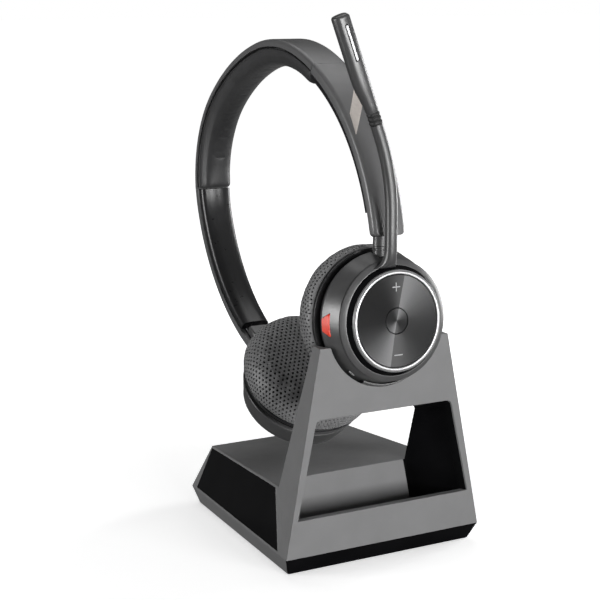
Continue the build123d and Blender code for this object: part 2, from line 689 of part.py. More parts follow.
def build_arm(prefix, headings, strip_end, root, screw_headings, tag=None):
    """Cover and inner half of one arm, hollowed for the sliding strip and its root."""
    strip_slot = band(strip_end, (STRIP[0] - SLIDE_GAP, STRIP[1] + SLIDE_GAP), STRIP_WIDTH + 0.6)
    root_slot = band(root, (2.1, ARM_DEPTH + 1.0), STRIP_WIDTH + 1.2)
    spring_ends = (56.5, 191.5)
    spring_slot = band(spring_ends, (3.0, 3.7), 10.6)
    if prefix == "front_":
        inner_end = (root[1], headings[1])
    else:
        inner_end = (headings[0], root[0])
    cover = band(headings, (0, COVER_DEPTH), ARM_WIDTH, 1.9) - strip_slot - root_slot - spring_slot
    inner = band(inner_end, (COVER_DEPTH, ARM_DEPTH), ARM_INNER_WIDTH, 1.9) - strip_slot
    screws = []
    for heading in screw_headings:
        plane = radial_plane(heading, ARM_DEPTH)
        hole = Cylinder(1.0, 9.6) + Pos(0, 0, -0.2) * Cylinder(1.9, 3.0)
        screw = Pos(0, 0, 2.8) * Cylinder(0.9, 3.8) + Pos(0, 0, 0.9) * Cylinder(1.7, 0.8)
        cover -= plane * hole
        inner -= plane * hole
        screws.append(plane * screw)
    if tag is not None:
        cover -= tag
    NODES[prefix + "arm_cover"] = cover
    NODES[prefix + "arm_inner"] = inner
    return screws


def arm_tag():
    """Plain slanted plate let into the front arm's cover."""
    low, high = 36.0, 52.6
    skin = band((low - 1, high + 1), (-0.1, 0.5), ARM_WIDTH + 2)
    middle = radial_plane((low + high) / 2, 0)
    half = 12.2
    outline = [(-6.9, -half), (-5.6, -1.8), (3.0, half), (3.4, 4.0)]
    cutter = extrude(middle * make_face(Polyline(*outline, close=True)), 8, both=True)
    return skin & cutter & band((low - 1, high + 1), (0.0, 0.5), ARM_WIDTH, 0.2)


def build_headband():
    """Crown shell, spring and pad, both arms, the tag and the arms' screws."""
    NODES["crown_shell"] = band(CROWN, (0, 3.0), CROWN_WIDTH, 1.4)
    NODES["crown_spring"] = band((57.0, 191.0), (3.05, 3.65), 10.0)
    NODES["crown_pad"] = band((CROWN[0] + 0.3, CROWN[1] - 0.3), (3.75, 12.0), CROWN_WIDTH - 0.6, 3.2)
    tag = arm_tag()
    NODES["arm_tag"] = tag
    front_screws = build_arm("front_", FRONT_ARM, (9, 43), (9, 16.5), (48.0, 55.0), tag)
    rear_screws = build_arm("rear_", REAR_ARM, (213, 248), (239.5, 248), (194.0, 203.0))
    NODES["arm_screws"] = Compound(front_screws + rear_screws)


def build_slider(prefix, pivot, barrel_dir, sleeve, strip, root):
    """Sleeve that turns on the knuckle, its root inside the arm, and the steel strip."""
    barrel = Plane(origin=(0, pivot[0], pivot[1]), x_dir=(1, 0, 0), z_dir=(0, *barrel_dir))
    low, high = sleeve
    body = Pos(0, 0, low) * standing(2.9, high - low)
    bore = Pos(0, 0, low - 1) * standing(1.55, 6.0)
    outer_end, strip_end = root
    web_outline = [
        (pivot[0] + barrel_dir[0] * (high - 4.5), pivot[1] + barrel_dir[1] * (high - 4.5)),
        (pivot[0] + barrel_dir[0] * high, pivot[1] + barrel_dir[1] * high),
        heading_point(strip_end, 5.0),
        heading_point(outer_end, 5.0),
    ]
    web = prism(web_outline, -3.0, 3.0)
    yoke = barrel * body + web + band(sorted(root), (2.4, 7.4), STRIP_WIDTH, 1.0)
    NODES[prefix + "yoke"] = yoke - barrel * bore
    NODES[prefix + "slider_strip"] = band(strip, STRIP, STRIP_WIDTH, 0.4)
    eye = Rot(0, 90, 0) * Cylinder(3.1, 2 * EYE_HALF_WIDTH)
    neck = standing(BARREL_R, low - 0.2) & Box(2 * EYE_HALF_WIDTH, 2 * BARREL_R, 4 * low)
    stem = standing(1.5, low + 4.2)
    knuckle = eye + neck + stem - Rot(0, 90, 0) * Cylinder(AXLE_R + 0.06, 20)
    NODES[prefix + "knuckle"] = barrel * knuckle


def cup_pivot(plane):
    """(y, z) of a cup's tilt pivot."""
    point = plane.from_local_coords((0, PIVOT_RADIUS, -PIVOT_DEPTH))
    return point.Y, point.Z


def build_sliders():
    """Both ends' sliding and turning joints."""
    low, high = FRONT_STRIP_START, FRONT_STRIP_START + STRIP_LENGTH_DEG
    build_slider("front_", cup_pivot(FRONT_CUP), (0, 1), (7.2, 14.6), (low, high), (11.0, low))
    end = radians(REAR_ARM[1] - 1)
    direction = (-sin(end), -cos(end))
    low, high = REAR_STRIP_END - STRIP_LENGTH_DEG, REAR_STRIP_END
    build_slider("rear_", cup_pivot(REAR_CUP), direction, (7.2, 15.2), (low, high), (244.6, high))


def main():
    build_base_shells()
    build_base_bottom()
    build_ports()
    build_contacts()
    build_front_cup()
    build_disc()
    build_cup_inside("front_", FRONT_CUP)
    build_boom()
    build_headband()
    build_sliders()
    build_rear_cup()
    build_cup_inside("rear_", REAR_CUP)
    os.makedirs("parts", exist_ok=True)
    for name, shape in NODES.items():
        export_step(shape, f"parts/{name}.step")


main()
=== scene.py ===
"""Looks of the office headset and its charging base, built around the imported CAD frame.

Lengths are in millimetres and become metres when a mesh is made.  A piece of an ear cup is built in
that cup's own frame: X across, Y up along the face, Z out of the face, so a depth runs along -Z.
"""

import json
import math

import bmesh
import bpy
import numpy as np
from mathutils import Matrix, Vector
from mathutils.bvhtree import BVHTree


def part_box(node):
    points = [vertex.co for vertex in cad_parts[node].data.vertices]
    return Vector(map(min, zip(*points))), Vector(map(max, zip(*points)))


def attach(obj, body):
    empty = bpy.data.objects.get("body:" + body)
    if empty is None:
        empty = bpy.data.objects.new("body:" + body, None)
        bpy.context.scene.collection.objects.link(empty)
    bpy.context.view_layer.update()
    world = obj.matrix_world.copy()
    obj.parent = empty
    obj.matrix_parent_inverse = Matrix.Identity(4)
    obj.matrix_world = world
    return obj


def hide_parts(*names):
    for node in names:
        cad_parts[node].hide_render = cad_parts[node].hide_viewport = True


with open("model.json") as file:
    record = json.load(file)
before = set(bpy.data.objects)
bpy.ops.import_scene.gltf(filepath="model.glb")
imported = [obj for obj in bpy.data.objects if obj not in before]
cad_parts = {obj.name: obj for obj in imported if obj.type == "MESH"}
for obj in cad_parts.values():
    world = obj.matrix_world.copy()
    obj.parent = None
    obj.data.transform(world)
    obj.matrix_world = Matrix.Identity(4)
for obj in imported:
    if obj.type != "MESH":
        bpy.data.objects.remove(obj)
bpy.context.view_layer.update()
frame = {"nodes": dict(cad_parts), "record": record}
NODES = frame["nodes"]

MM = 0.001
ROW = Matrix.Identity(4)

# ---- Dimensions shared with the CAD model --------------------------------------------
FRONT_TILT = 4.85  # degrees by which each ear cup leans out of the vertical
REAR_TILT = 52.5
BAND_START = (-51.84, 134.95)  # (y, z) of the band's outer line at its front end
BAND_START_HEADING = 12.43
BAND_ARCS = [(88.5, 60.3), (67.8, 33.1), (102.1, 26.1), (55.5, 65.3), (90.2, 48.2)]
FRONT_ARM = (9.9, 62.8)  # headings, in degrees from +Z towards +Y
CROWN = (62.8, 185.5)
REAR_ARM = (185.5, 246.5)
BOOM_Y = -58.0
BOOM_X = -3.4
BOOM_STRAIGHT_TOP = 140.0
BOOM_BEND_R = 85.0
BOOM_BEND = 20.7

# ---- Sizes of the detail added here ---------------------------------------------------
SHARP_ANGLE = 35.0  # edges sharper than this stay sharp
MERGE = 1e-7  # metres
SIM_MERGE = 1e-6
ARM_WIDTH_TOP = 15.9
ARM_WIDTH_END = 14.2
HOLE_PITCH = 2.1
HOLE_R = 0.56
HOLE_DEPTH = 0.6
SIM_SCALE = 10.0  # the pads are simulated ten times as large, where cloth settings behave
SIM_FRAMES = 20


# ---- Mesh helpers ---------------------------------------------------------------------

def new_mesh(name, points, faces, merge=None):
    """A mesh from points in metres, its faces turned outwards; points nearer than merge are joined."""
    mesh = bpy.data.meshes.new(name)
    mesh.from_pydata(points, [], faces)
    mesh.validate()
    clean = bmesh.new()
    clean.from_mesh(mesh)
    if merge:
        bmesh.ops.remove_doubles(clean, verts=clean.verts, dist=merge)
    bmesh.ops.recalc_face_normals(clean, faces=clean.faces)
    clean.to_mesh(mesh)
    clean.free()
    return mesh


def new_object(name, mesh, placed=ROW):
    """An object in the scene, placed by a frame."""
    made = bpy.data.objects.new(name, mesh)
    bpy.context.scene.collection.objects.link(made)
    made.matrix_world = placed
    return made


def skin_faces(levels, count, closed=False):
    """Quads between successive rings of count points, and back to the first ring if closed."""
    faces = []
    for level in range(levels if closed else levels - 1):
        here, after = level * count, (level + 1) % levels * count
        for i in range(count):
            j = (i + 1) % count
            faces.append((here + i, here + j, after + j, after + i))
    return faces


def end_faces(levels, count):
    """The flat faces that close the first and the last ring of a skin."""
    return [tuple(reversed(range(count))), tuple(range((levels - 1) * count, levels * count))]


def add_mesh(name, points, faces, body, material, placed=ROW, replaces=(), slot=None, smooth=SHARP_ANGLE):
    """A new piece from points in millimetres, placed by a frame, riding on a CAD body."""
    mesh = new_mesh(name, [Vector(p) * MM for p in points], faces, MERGE)
    mesh.shade_smooth()
    mesh.set_sharp_from_angle(angle=math.radians(smooth))
    piece = new_object(name, mesh, placed)
    mesh.materials.append(material)
    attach(piece, body)
    if replaces:
        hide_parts(*replaces)
    return piece


def softened(outline, radius, closed=True, steps=4):
    """An outline whose corners are rounded; radius is one value or one per corner."""
    radii = radius if isinstance(radius, (list, tuple)) else [radius] * len(outline)
    result = []
    count = len(outline)
    for index, corner in enumerate(outline):
        r = radii[index]
        if r <= 0 or (not closed and index in (0, count - 1)):
            result.append(tuple(corner))
            continue
        here = Vector((*corner, 0))
        before = Vector((*outline[index - 1], 0)) - here
        after = Vector((*outline[(index + 1) % count], 0)) - here
        angle = before.angle(after)
        reach = min(r / math.tan(angle / 2), 0.45 * before.length, 0.45 * after.length)
        start = here + before.normalized() * reach
        end = here + after.normalized() * reach
        for step in range(steps + 1):
            t = step / steps
            point = start.lerp(here, t).lerp(here.lerp(end, t), t)
            result.append((point.x, point.y))
    return result


def turned(name, outline, body, material, placed, segments=160, **options):
    """A ring turned about a cup's axis from a closed (radius, depth) outline."""
    points = []
    for turn in range(segments):
        a = 2 * math.pi * turn / segments
        points += [(r * math.cos(a), r * math.sin(a), -d) for r, d in outline]
    faces = skin_faces(segments, len(outline), closed=True)
    return add_mesh(name, points, faces, body, material, placed, **options)


def loft(name, rings, body, material, placed=ROW, **options):
    """A skin over closed rings of equally many points, with flat ends."""
    count = len(rings[0])
    points = [p for ring in rings for p in ring]
    faces = skin_faces(len(rings), count) + end_faces(len(rings), count)
    return add_mesh(name, points, faces, body, material, placed, **options)


def densified(outline, step):
    """A closed outline with extra points so that no edge is longer than step."""
    result = []
    for index, (x, y) in enumerate(outline):
        after_x, after_y = outline[(index + 1) % len(outline)]
        parts = max(1, math.ceil(math.hypot(after_x - x, after_y - y) / step))
        for part in range(parts):
            t = part / parts
            result.append((x + (after_x - x) * t, y + (after_y - y) * t))
    return result


def inlaid(name, outline, surface, layers, body, material, **options):
    """A low raised plate on a curved surface: the outline at each (scale, height) of its layers."""
    middle_x = sum(x for x, _ in outline) / len(outline)
    middle_y = sum(y for _, y in outline) / len(outline)
    rings = []
    for scale, height in layers:
        ring = []
        for x, y in outline:
            scaled_x = middle_x + (x - middle_x) * scale
            scaled_y = middle_y + (y - middle_y) * scale
            ring.append(surface(scaled_x, scaled_y, height))
        rings.append(ring)
    return loft(name, rings, body, material, **options)


def cut(piece, points, faces, placed):
    """Removes a closed cutter, given in millimetres, from a piece."""
    mesh = new_mesh("cutter", [Vector(p) * MM for p in points], faces)
    cutter = new_object("cutter", mesh, placed)
    boolean = piece.modifiers.new("cut", "BOOLEAN")
    boolean.operation = "DIFFERENCE"
    boolean.solver = "EXACT"
    boolean.object = cutter
    bpy.context.view_layer.update()
    graph = bpy.context.evaluated_depsgraph_get()
    result = bpy.data.meshes.new_from_object(piece.evaluated_get(graph))
    piece.modifiers.clear()
    piece.data = result
    result.set_sharp_from_angle(angle=math.radians(SHARP_ANGLE))
    bpy.data.objects.remove(cutter)
    bpy.data.meshes.remove(mesh)


def box_mesh(x, y, z):
    """Points and faces of a box between (low, high) pairs."""
    points = [(a, b, c) for a in x for b in y for c in z]
    faces = [(0, 1, 3, 2), (4, 6, 7, 5), (0, 4, 5, 1), (2, 3, 7, 6), (0, 2, 6, 4), (1, 5, 7, 3)]
    return points, faces


# ---- Frames ---------------------------------------------------------------------------

def cup_frame(ring, depth, tilt, facing):
    """Frame of an ear cup, from the box of one of its rings and the depth of that ring's middle."""
    low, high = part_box(ring)
    a = math.radians(tilt)
    across = Vector((facing, 0, 0))
    out = Vector((0, -facing * math.cos(a), facing * math.sin(a)))
    placed = Matrix((across, out.cross(across), out)).transposed().to_4x4()
    placed.translation = (low + high) / 2 + out * depth * MM
    return placed


FRONT_CUP = cup_frame("trim_ring", 0.8, FRONT_TILT, 1)
REAR_CUP = cup_frame("rear_cushion_ring", 17.9, REAR_TILT, -1)


def band_arcs():
    """Centre, radius and end heading of each arc of the band."""
    y, z = BAND_START
    heading = BAND_START_HEADING
    arcs = []
    for radius, turn in BAND_ARCS:
        a = math.radians(heading)
        centre = (y + radius * math.cos(a), z - radius * math.sin(a))
        heading += turn
        a = math.radians(heading)
        y = centre[0] - radius * math.cos(a)
        z = centre[1] + radius * math.sin(a)
        arcs.append((centre, radius, heading))
    return arcs


ARCS = band_arcs()


def arc_at(heading):
    """Centre and radius of the band's arc at a heading."""
    for centre, radius, end in ARCS:
        if heading < end:
            return centre, radius
    return ARCS[-1][:2]


def band_point(x, heading, depth):
    """Point at x, this deep under the band's outer line."""
    (y, z), radius = arc_at(heading)
    a = math.radians(heading)
    reach = radius - depth
    return Vector((x, y - reach * math.cos(a), z + reach * math.sin(a)))


def along(heading, distance):
    """The heading a distance further along the band."""
    return heading + math.degrees(distance / arc_at(heading)[1])


# ---- Materials ------------------------------------------------------------------------

class Finish:
    """A Principled material with its node tree and short-hand for adding nodes."""

    def __init__(self, name, colour, roughness, sockets):
        self.material = bpy.data.materials.new(name)
        self.material.use_nodes = True
        self.tree = self.material.node_tree
        self.shader = self.tree.nodes["Principled BSDF"]
        self.colour = (*colour, 1.0)
        self.roughness = roughness
        self.set("Base Color", self.colour)
        self.set("Roughness", roughness)
        for socket, value in sockets.items():
            self.set(socket, value)
        place = self.node("ShaderNodeTexCoord")
        scaled = self.node("ShaderNodeVectorMath", operation="SCALE")
        scaled.inputs["Scale"].default_value = 1 / MM
        self.link(place.outputs["Object"], scaled.inputs[0])
        self.mm = scaled.outputs[0]

    def set(self, socket, value):
        self.shader.inputs[socket].default_value = value

    def node(self, kind, **attributes):
        made = self.tree.nodes.new(kind)
        for name, value in attributes.items():
            setattr(made, name, value)
        return made

    def link(self, source, target):
        self.tree.links.new(source, target)

    def noise(self, size, detail=2.0, vector=None):
        """Noise whose features are about size millimetres across."""
        made = self.node("ShaderNodeTexNoise")
        made.inputs["Scale"].default_value = 1 / size
        made.inputs["Detail"].default_value = detail
        self.link(vector or self.mm, made.inputs["Vector"])
        return made.outputs["Fac"]

    def ranged(self, value, low, high, source=(0.3, 0.7)):
        """value, stretched from the source range to low..high."""
        made = self.node("ShaderNodeMapRange")
        made.inputs["From Min"].default_value = source[0]
        made.inputs["From Max"].default_value = source[1]
        made.inputs["To Min"].default_value = low
        made.inputs["To Max"].default_value = high
        self.link(value, made.inputs["Value"])
        return made.outputs["Result"]

    def mottle(self, size, amount, value=None):
        """Small changes of shade over the surface."""
        shade = self.ranged(value or self.noise(size), 1 - amount, 1 + amount)
        mixed = self.node("ShaderNodeVectorMath", operation="SCALE")
        mixed.inputs[0].default_value = self.colour[:3]
        self.link(shade, mixed.inputs["Scale"])
        self.link(mixed.outputs[0], self.shader.inputs["Base Color"])

    def polish(self, size, amount, value=None):
        """Small changes of roughness over the surface."""
        low, high = self.roughness - amount, self.roughness + amount
        self.link(self.ranged(value or self.noise(size), low, high), self.shader.inputs["Roughness"])

    def bump(self, value, height, strength=1.0):
        """Relief of this height in millimetres."""
        made = self.node("ShaderNodeBump")
        made.inputs["Strength"].default_value = strength
        made.inputs["Distance"].default_value = height * MM
        self.link(value, made.inputs["Height"])
        self.link(made.outputs["Normal"], self.shader.inputs["Normal"])

    def grain(self, size, height):
        self.bump(self.noise(size, 3.0), height)

    def hide(self, size, height):
        """The pebbled cells of leatherette."""
        cells = self.node("ShaderNodeTexVoronoi", feature="SMOOTH_F1")
        cells.inputs["Scale"].default_value = 1 / size
        cells.inputs["Smoothness"].default_value = 0.4
        self.link(self.mm, cells.inputs["Vector"])
        self.bump(cells.outputs["Distance"], height)


# Painted highlight on the spun disc: its colour is a bright fan, sharp at one edge and fading round the
# turn.
PAINTED_HIGHLIGHT_EDGE = 12.6  # degrees clockwise from upright of the sharp edge of the painted highlight on the disc
PAINTED_HIGHLIGHT_STEPS = [  # part of a half turn from that edge, and the brightness of the painted highlight there
    (0.001, 1.0), (0.05, 0.86), (0.15, 0.56), (0.27, 0.32), (0.42, 0.18), (0.75, 0.14), (0.998, 0.2),
]


def spun_metal_with_painted_highlight(name, colour, roughness):
    """Metal turned on a lathe: fine rings about the piece's own Z axis, brushed round it, with a painted
    highlight: a bright fan in its colour that fades with the angle round that axis.
    """
    made = Finish(name, colour, roughness, {"Metallic": 0.1, "Anisotropic": 0.9, "Specular IOR Level": 0.3})
    split = made.node("ShaderNodeSeparateXYZ")
    flat = made.node("ShaderNodeCombineXYZ")
    radius = made.node("ShaderNodeVectorMath", operation="LENGTH")
    made.link(made.mm, split.inputs[0])
    made.link(split.outputs["X"], flat.inputs["X"])
    made.link(split.outputs["Y"], flat.inputs["Y"])
    made.link(flat.outputs[0], radius.inputs[0])
    lines = made.node("ShaderNodeTexNoise", noise_dimensions="1D")
    lines.inputs["Scale"].default_value = 9.0
    lines.inputs["Detail"].default_value = 4.0
    made.link(radius.outputs["Value"], lines.inputs["W"])
    made.polish(1.0, 0.05, lines.outputs["Fac"])
    made.bump(lines.outputs["Fac"], 0.004)
    # Painted highlight: the base colour follows the angle round the axis, bright at one edge and fading
    # round the turn.
    turn = made.node("ShaderNodeMath", operation="ARCTAN2")
    made.link(split.outputs["X"], turn.inputs[0])
    made.link(split.outputs["Y"], turn.inputs[1])
    part = made.node("ShaderNodeMapRange", clamp=False)
    part.inputs["From Min"].default_value = math.radians(PAINTED_HIGHLIGHT_EDGE)
    part.inputs["From Max"].default_value = math.radians(PAINTED_HIGHLIGHT_EDGE + 180)
    made.link(turn.outputs[0], part.inputs["Value"])
    wrapped = made.node("ShaderNodeMath", operation="FRACT")
    made.link(part.outputs["Result"], wrapped.inputs[0])
    fade = made.node("ShaderNodeValToRGB")
    ramp = fade.color_ramp
    for place, shade in PAINTED_HIGHLIGHT_STEPS:
        stop = ramp.elements.new(place)
        stop.color = (shade * colour[0], shade * colour[1], shade * colour[2], 1)
    ramp.elements.remove(ramp.elements[0])
    ramp.elements.remove(ramp.elements[-1])
    made.link(wrapped.outputs[0], fade.inputs["Fac"])
    varied = made.node("ShaderNodeVectorMath", operation="SCALE")
    made.link(fade.outputs["Color"], varied.inputs[0])
    made.link(made.ranged(lines.outputs["Fac"], 0.85, 1.15), varied.inputs["Scale"])
    made.link(varied.outputs[0], made.shader.inputs["Base Color"])
    brushed = made.node("ShaderNodeTangent", direction_type="RADIAL", axis="Z")
    made.link(brushed.outputs["Tangent"], made.shader.inputs["Tangent"])
    return made.material


LOOKS = {  # colour, roughness, then (size, amount) of mottle, polish and relief, and further sockets
    "housing_grey": ((0.2, 0.2, 0.202), 0.45, (9.0, 0.03), (5.0, 0.03), (0.16, 0.012),
                     {"Specular IOR Level": 0.3}),
    "gloss_black": ((0.004, 0.004, 0.0045), 0.1, (14.0, 0.2), (7.0, 0.025), (3.5, 0.002),
                    {"Specular IOR Level": 0.25}),
    "shell_black": ((0.075, 0.075, 0.076), 0.34, (6.0, 0.08), (4.0, 0.03), (0.14, 0.006),
                    {"Specular IOR Level": 0.8}),
    "boom_black": ((0.062, 0.062, 0.063), 0.34, (6.0, 0.08), (4.0, 0.03), (0.13, 0.005),
                   {"Specular IOR Level": 0.8}),
    "arm_grey": ((0.16, 0.16, 0.162), 0.36, (8.0, 0.04), (5.0, 0.03), (0.12, 0.005), {"Metallic": 0.2}),
    "chrome_trim": ((0.85, 0.85, 0.86), 0.3, (4.0, 0.03), (3.0, 0.02), (1.2, 0.001), {"Metallic": 0.35}),
    "mark_grey": ((0.42, 0.42, 0.43), 0.4, (1.0, 0.08), (1.0, 0.04), (0.1, 0.004), {}),
    "mute_red": ((0.95, 0.06, 0.025), 0.4, (2.0, 0.07), (2.0, 0.04), (0.12, 0.005),
                 {"Subsurface Weight": 0.25, "Subsurface Radius": (1, 0.2, 0.1),
                  "Subsurface Scale": 0.001}),
    "cushion_leather": ((0.2, 0.2, 0.202), 0.5, (4.0, 0.12), (2.5, 0.05), (0.55, 0.035),
                        {"Sheen Weight": 0.12}),
    "crown_fabric": ((0.03, 0.03, 0.031), 0.47, (6.0, 0.1), (3.0, 0.05), (0.6, 0.03),
                     {"Sheen Weight": 0.15}),
    "spring_steel": ((0.56, 0.56, 0.58), 0.3, (3.0, 0.06), (1.5, 0.06), (0.2, 0.003), {"Metallic": 1.0}),
    "gold_contact": ((0.83, 0.58, 0.2), 0.2, (1.0, 0.05), (0.7, 0.05), (0.15, 0.002), {"Metallic": 1.0}),
    "rubber_black": ((0.016, 0.016, 0.016), 0.62, (3.0, 0.15), (2.0, 0.05), (0.2, 0.02), {}),
    "tag_silver": ((0.62, 0.57, 0.53), 0.42, (1.5, 0.05), (1.2, 0.05), (0.1, 0.005), {"Metallic": 0.35}),
    "board_green": ((0.03, 0.16, 0.07), 0.35, (2.0, 0.15), (2.0, 0.08), (0.6, 0.02), {}),
    "battery_wrap": ((0.5, 0.5, 0.52), 0.3, (3.0, 0.06), (2.0, 0.06), (1.5, 0.02), {}),
    "inner_black": ((0.018, 0.018, 0.019), 0.3, (6.0, 0.08), (4.0, 0.03), (0.14, 0.004), {}),
    "grille_silver": ((0.5, 0.5, 0.51), 0.4, (0.8, 0.06), (0.8, 0.05), (0.15, 0.01), {"Metallic": 0.5}),
    "hole_dark": ((0.006, 0.006, 0.006), 0.8, (0.4, 0.3), (0.5, 0.05), (0.2, 0.03), {}),
}
PEBBLED = ("cushion_leather", "crown_fabric")  # leatherette relief; all others have a fine grain


def finishes():
    """One material for each of the record's slots, and a few for details."""
    materials = {}
    for name, (colour, roughness, mottle, polish, relief, sockets) in LOOKS.items():
        made = Finish(name, colour, roughness, sockets)
        made.mottle(*mottle)
        made.polish(*polish)
        if name in PEBBLED:
            made.hide(*relief)
        else:
            made.grain(*relief)
        materials[name] = made.material
    materials["brushed_disc"] = spun_metal_with_painted_highlight("brushed_disc", (0.13, 0.13, 0.133), 0.36)
    return materials


MATERIALS = finishes()
# Nodes that sit in a joint get the near-black inner material as painted shade.
PAINTED_SHADE_NODES = ("front_cushion_ring", "rear_cushion_ring", "crown_spring")


def dress_frame():
    """Gives every CAD node the material of its slot, except the nodes that sit in a joint, which get
    near-black paint for the shade there.
    """
    for entry in frame["record"]["subparts"]:
        node = NODES[entry["node"]]
        node.data.materials.clear()
        look = "inner_black" if entry["node"] in PAINTED_SHADE_NODES else entry["material_slot"]
        node.data.materials.append(MATERIALS[look])


# ---- Camera, floor and lights ---------------------------------------------------------

AIM = (-25.5, -26.8, 104.0)
CAMERA_DISTANCE = 600.0
CAMERA_AZIMUTH = -29.295
CAMERA_ELEVATION = 11.332
CAMERA_LENS = 91.65


def direction(azimuth, elevation):
    """Unit vector towards a place seen from the object; azimuth 0 is the front, 90 the right."""
    a, e = math.radians(azimuth), math.radians(elevation)
    return Vector((math.sin(a) * math.cos(e), -math.cos(a) * math.cos(e), math.sin(e)))


def aimed(thing, azimuth, elevation, distance, target=AIM):
    """Puts a camera or light at a distance in millimetres, looking at its target."""
    back = direction(azimuth, elevation)
    thing.location = (Vector(target) + back * distance) * MM
    thing.rotation_mode = "QUATERNION"
    thing.rotation_quaternion = (-back).to_track_quat("-Z", "Y")
    bpy.context.scene.collection.objects.link(thing)
    return thing


def add_camera():
    data = bpy.data.cameras.new("camera")
    data.sensor_width = 36.0
    data.lens = CAMERA_LENS
    data.clip_start = 0.02
    camera = bpy.data.objects.new("camera", data)
    aimed(camera, CAMERA_AZIMUTH, CAMERA_ELEVATION, CAMERA_DISTANCE)
    bpy.context.scene.camera = camera


def softbox(name, azimuth, elevation, distance, size, watts):
    data = bpy.data.lights.new(name, "AREA")
    data.shape = "RECTANGLE"
    data.size, data.size_y = size[0] * MM, size[1] * MM
    data.energy = watts
    light = bpy.data.objects.new(name, data)
    aimed(light, azimuth, elevation, distance)
    light.visible_camera = False


FLOOR_GLOW = (0.52, 0.95)  # near the object and far from it
GLOW_RANGE = (0.12, 0.45)  # metres
FLOOR_HALF = 12.0  # metres
FLOOR_WHITE = 0.93  # as the camera sees it
FLOOR_BOUNCE = 0.1  # as the object sees it
WORLD_BOUNCE = 0.06
SUN_STRENGTH = 0.1
SUN_SPREAD = 50.0  # degrees
SUN_PLACE = (30, 55, 1000)  # azimuth, elevation, distance
SOFTBOXES = [  # name, azimuth, elevation, distance, size, watts
    ("left_box", -108, 0, 700, (300, 420), 4.0),
    ("front_box", 8, 3, 1000, (700, 380), 12.0),
    ("right_box", 95, 3, 800, (300, 480), 5.0),
    ("top_box", 150, 62, 900, (700, 500), 1.8),
]


def floor_material():
    """White to the camera and dark to the object, glowing more further from the object."""
    material = bpy.data.materials.new("floor")
    material.use_nodes = True
    tree = material.node_tree
    shader = tree.nodes["Principled BSDF"]
    shader.inputs["Roughness"].default_value = 0.9
    shader.inputs["Specular IOR Level"].default_value = 0.1
    shader.inputs["Emission Color"].default_value = (1, 1, 1, 1)
    rays = tree.nodes.new("ShaderNodeLightPath")
    shade = tree.nodes.new("ShaderNodeMix")
    shade.data_type = "RGBA"
    shade.inputs["A"].default_value = (FLOOR_BOUNCE, FLOOR_BOUNCE, FLOOR_BOUNCE, 1)
    shade.inputs["B"].default_value = (FLOOR_WHITE, FLOOR_WHITE, FLOOR_WHITE, 1)
    tree.links.new(rays.outputs["Is Camera Ray"], shade.inputs["Factor"])
    tree.links.new(shade.outputs["Result"], shader.inputs["Base Color"])
    place = tree.nodes.new("ShaderNodeTexCoord")
    distance = tree.nodes.new("ShaderNodeVectorMath")
    distance.operation = "LENGTH"
    fade = tree.nodes.new("ShaderNodeMapRange")
    for socket, value in zip(("From Min", "From Max", "To Min", "To Max"), (*GLOW_RANGE, *FLOOR_GLOW)):
        fade.inputs[socket].default_value = value
    glow = tree.nodes.new("ShaderNodeMath")
    glow.operation = "MULTIPLY"
    tree.links.new(place.outputs["Object"], distance.inputs[0])
    tree.links.new(distance.outputs["Value"], fade.inputs["Value"])
    tree.links.new(rays.outputs["Is Camera Ray"], glow.inputs[0])
    tree.links.new(fade.outputs["Result"], glow.inputs[1])
    tree.links.new(glow.outputs[0], shader.inputs["Emission Strength"])
    return material


def add_floor():
    half = FLOOR_HALF
    corners = [(-half, -half, 0), (half, -half, 0), (half, half, 0), (-half, half, 0)]
    mesh = bpy.data.meshes.new("floor")
    mesh.from_pydata(corners, [], [(0, 1, 2, 3)])
    mesh.materials.append(floor_material())
    floor = new_object("floor", mesh)


def add_surround():
    """A white world that is dimmer to the object than to the camera."""
    world = bpy.data.worlds.new("studio")
    bpy.context.scene.world = world
    world.use_nodes = True
    tree = world.node_tree
    background = tree.nodes["Background"]
    background.inputs["Color"].default_value = (1, 1, 1, 1)
    rays = tree.nodes.new("ShaderNodeLightPath")
    strength = tree.nodes.new("ShaderNodeMapRange")
    strength.inputs["To Min"].default_value = WORLD_BOUNCE
    strength.inputs["To Max"].default_value = 1.0
    tree.links.new(rays.outputs["Is Camera Ray"], strength.inputs["Value"])
    tree.links.new(strength.outputs["Result"], background.inputs["Strength"])


def add_lights():
    sun = bpy.data.lights.new("overhead", "SUN")
    sun.energy = SUN_STRENGTH
    sun.angle = math.radians(SUN_SPREAD)
    aimed(bpy.data.objects.new("overhead", sun), *SUN_PLACE)
    for box in SOFTBOXES:
        softbox(*box)
    bpy.context.scene.view_settings.view_transform = "Standard"


# ---- Edges of the CAD pieces ------------------------------------------------------------

EDGED = {
    "front_frame": 0.45, "upright_back": 0.4, "rear_housing": 0.4, "base_tray": 0.3, "front_strip": 0.3,
    "window_liner": 0.12, "left_side_inlay": 0.15, "right_side_inlay": 0.15, "cradle_saddle": 0.2,
    "anti_slip_pad": 0.2, "front_cushion_ring": 0.15, "rear_cushion_ring": 0.15, "front_yoke": 0.3,
    "rear_yoke": 0.3, "power_switch": 0.25, "phone_sockets": 0.15, "power_jack": 0.15,
}


EDGE_WELD = 0.002
FLAT_ANGLE = 0.2  # degrees; faces flatter to each other than this are joined
EDGE_ANGLE = 25.0  # degrees; sharper edges than this are rounded


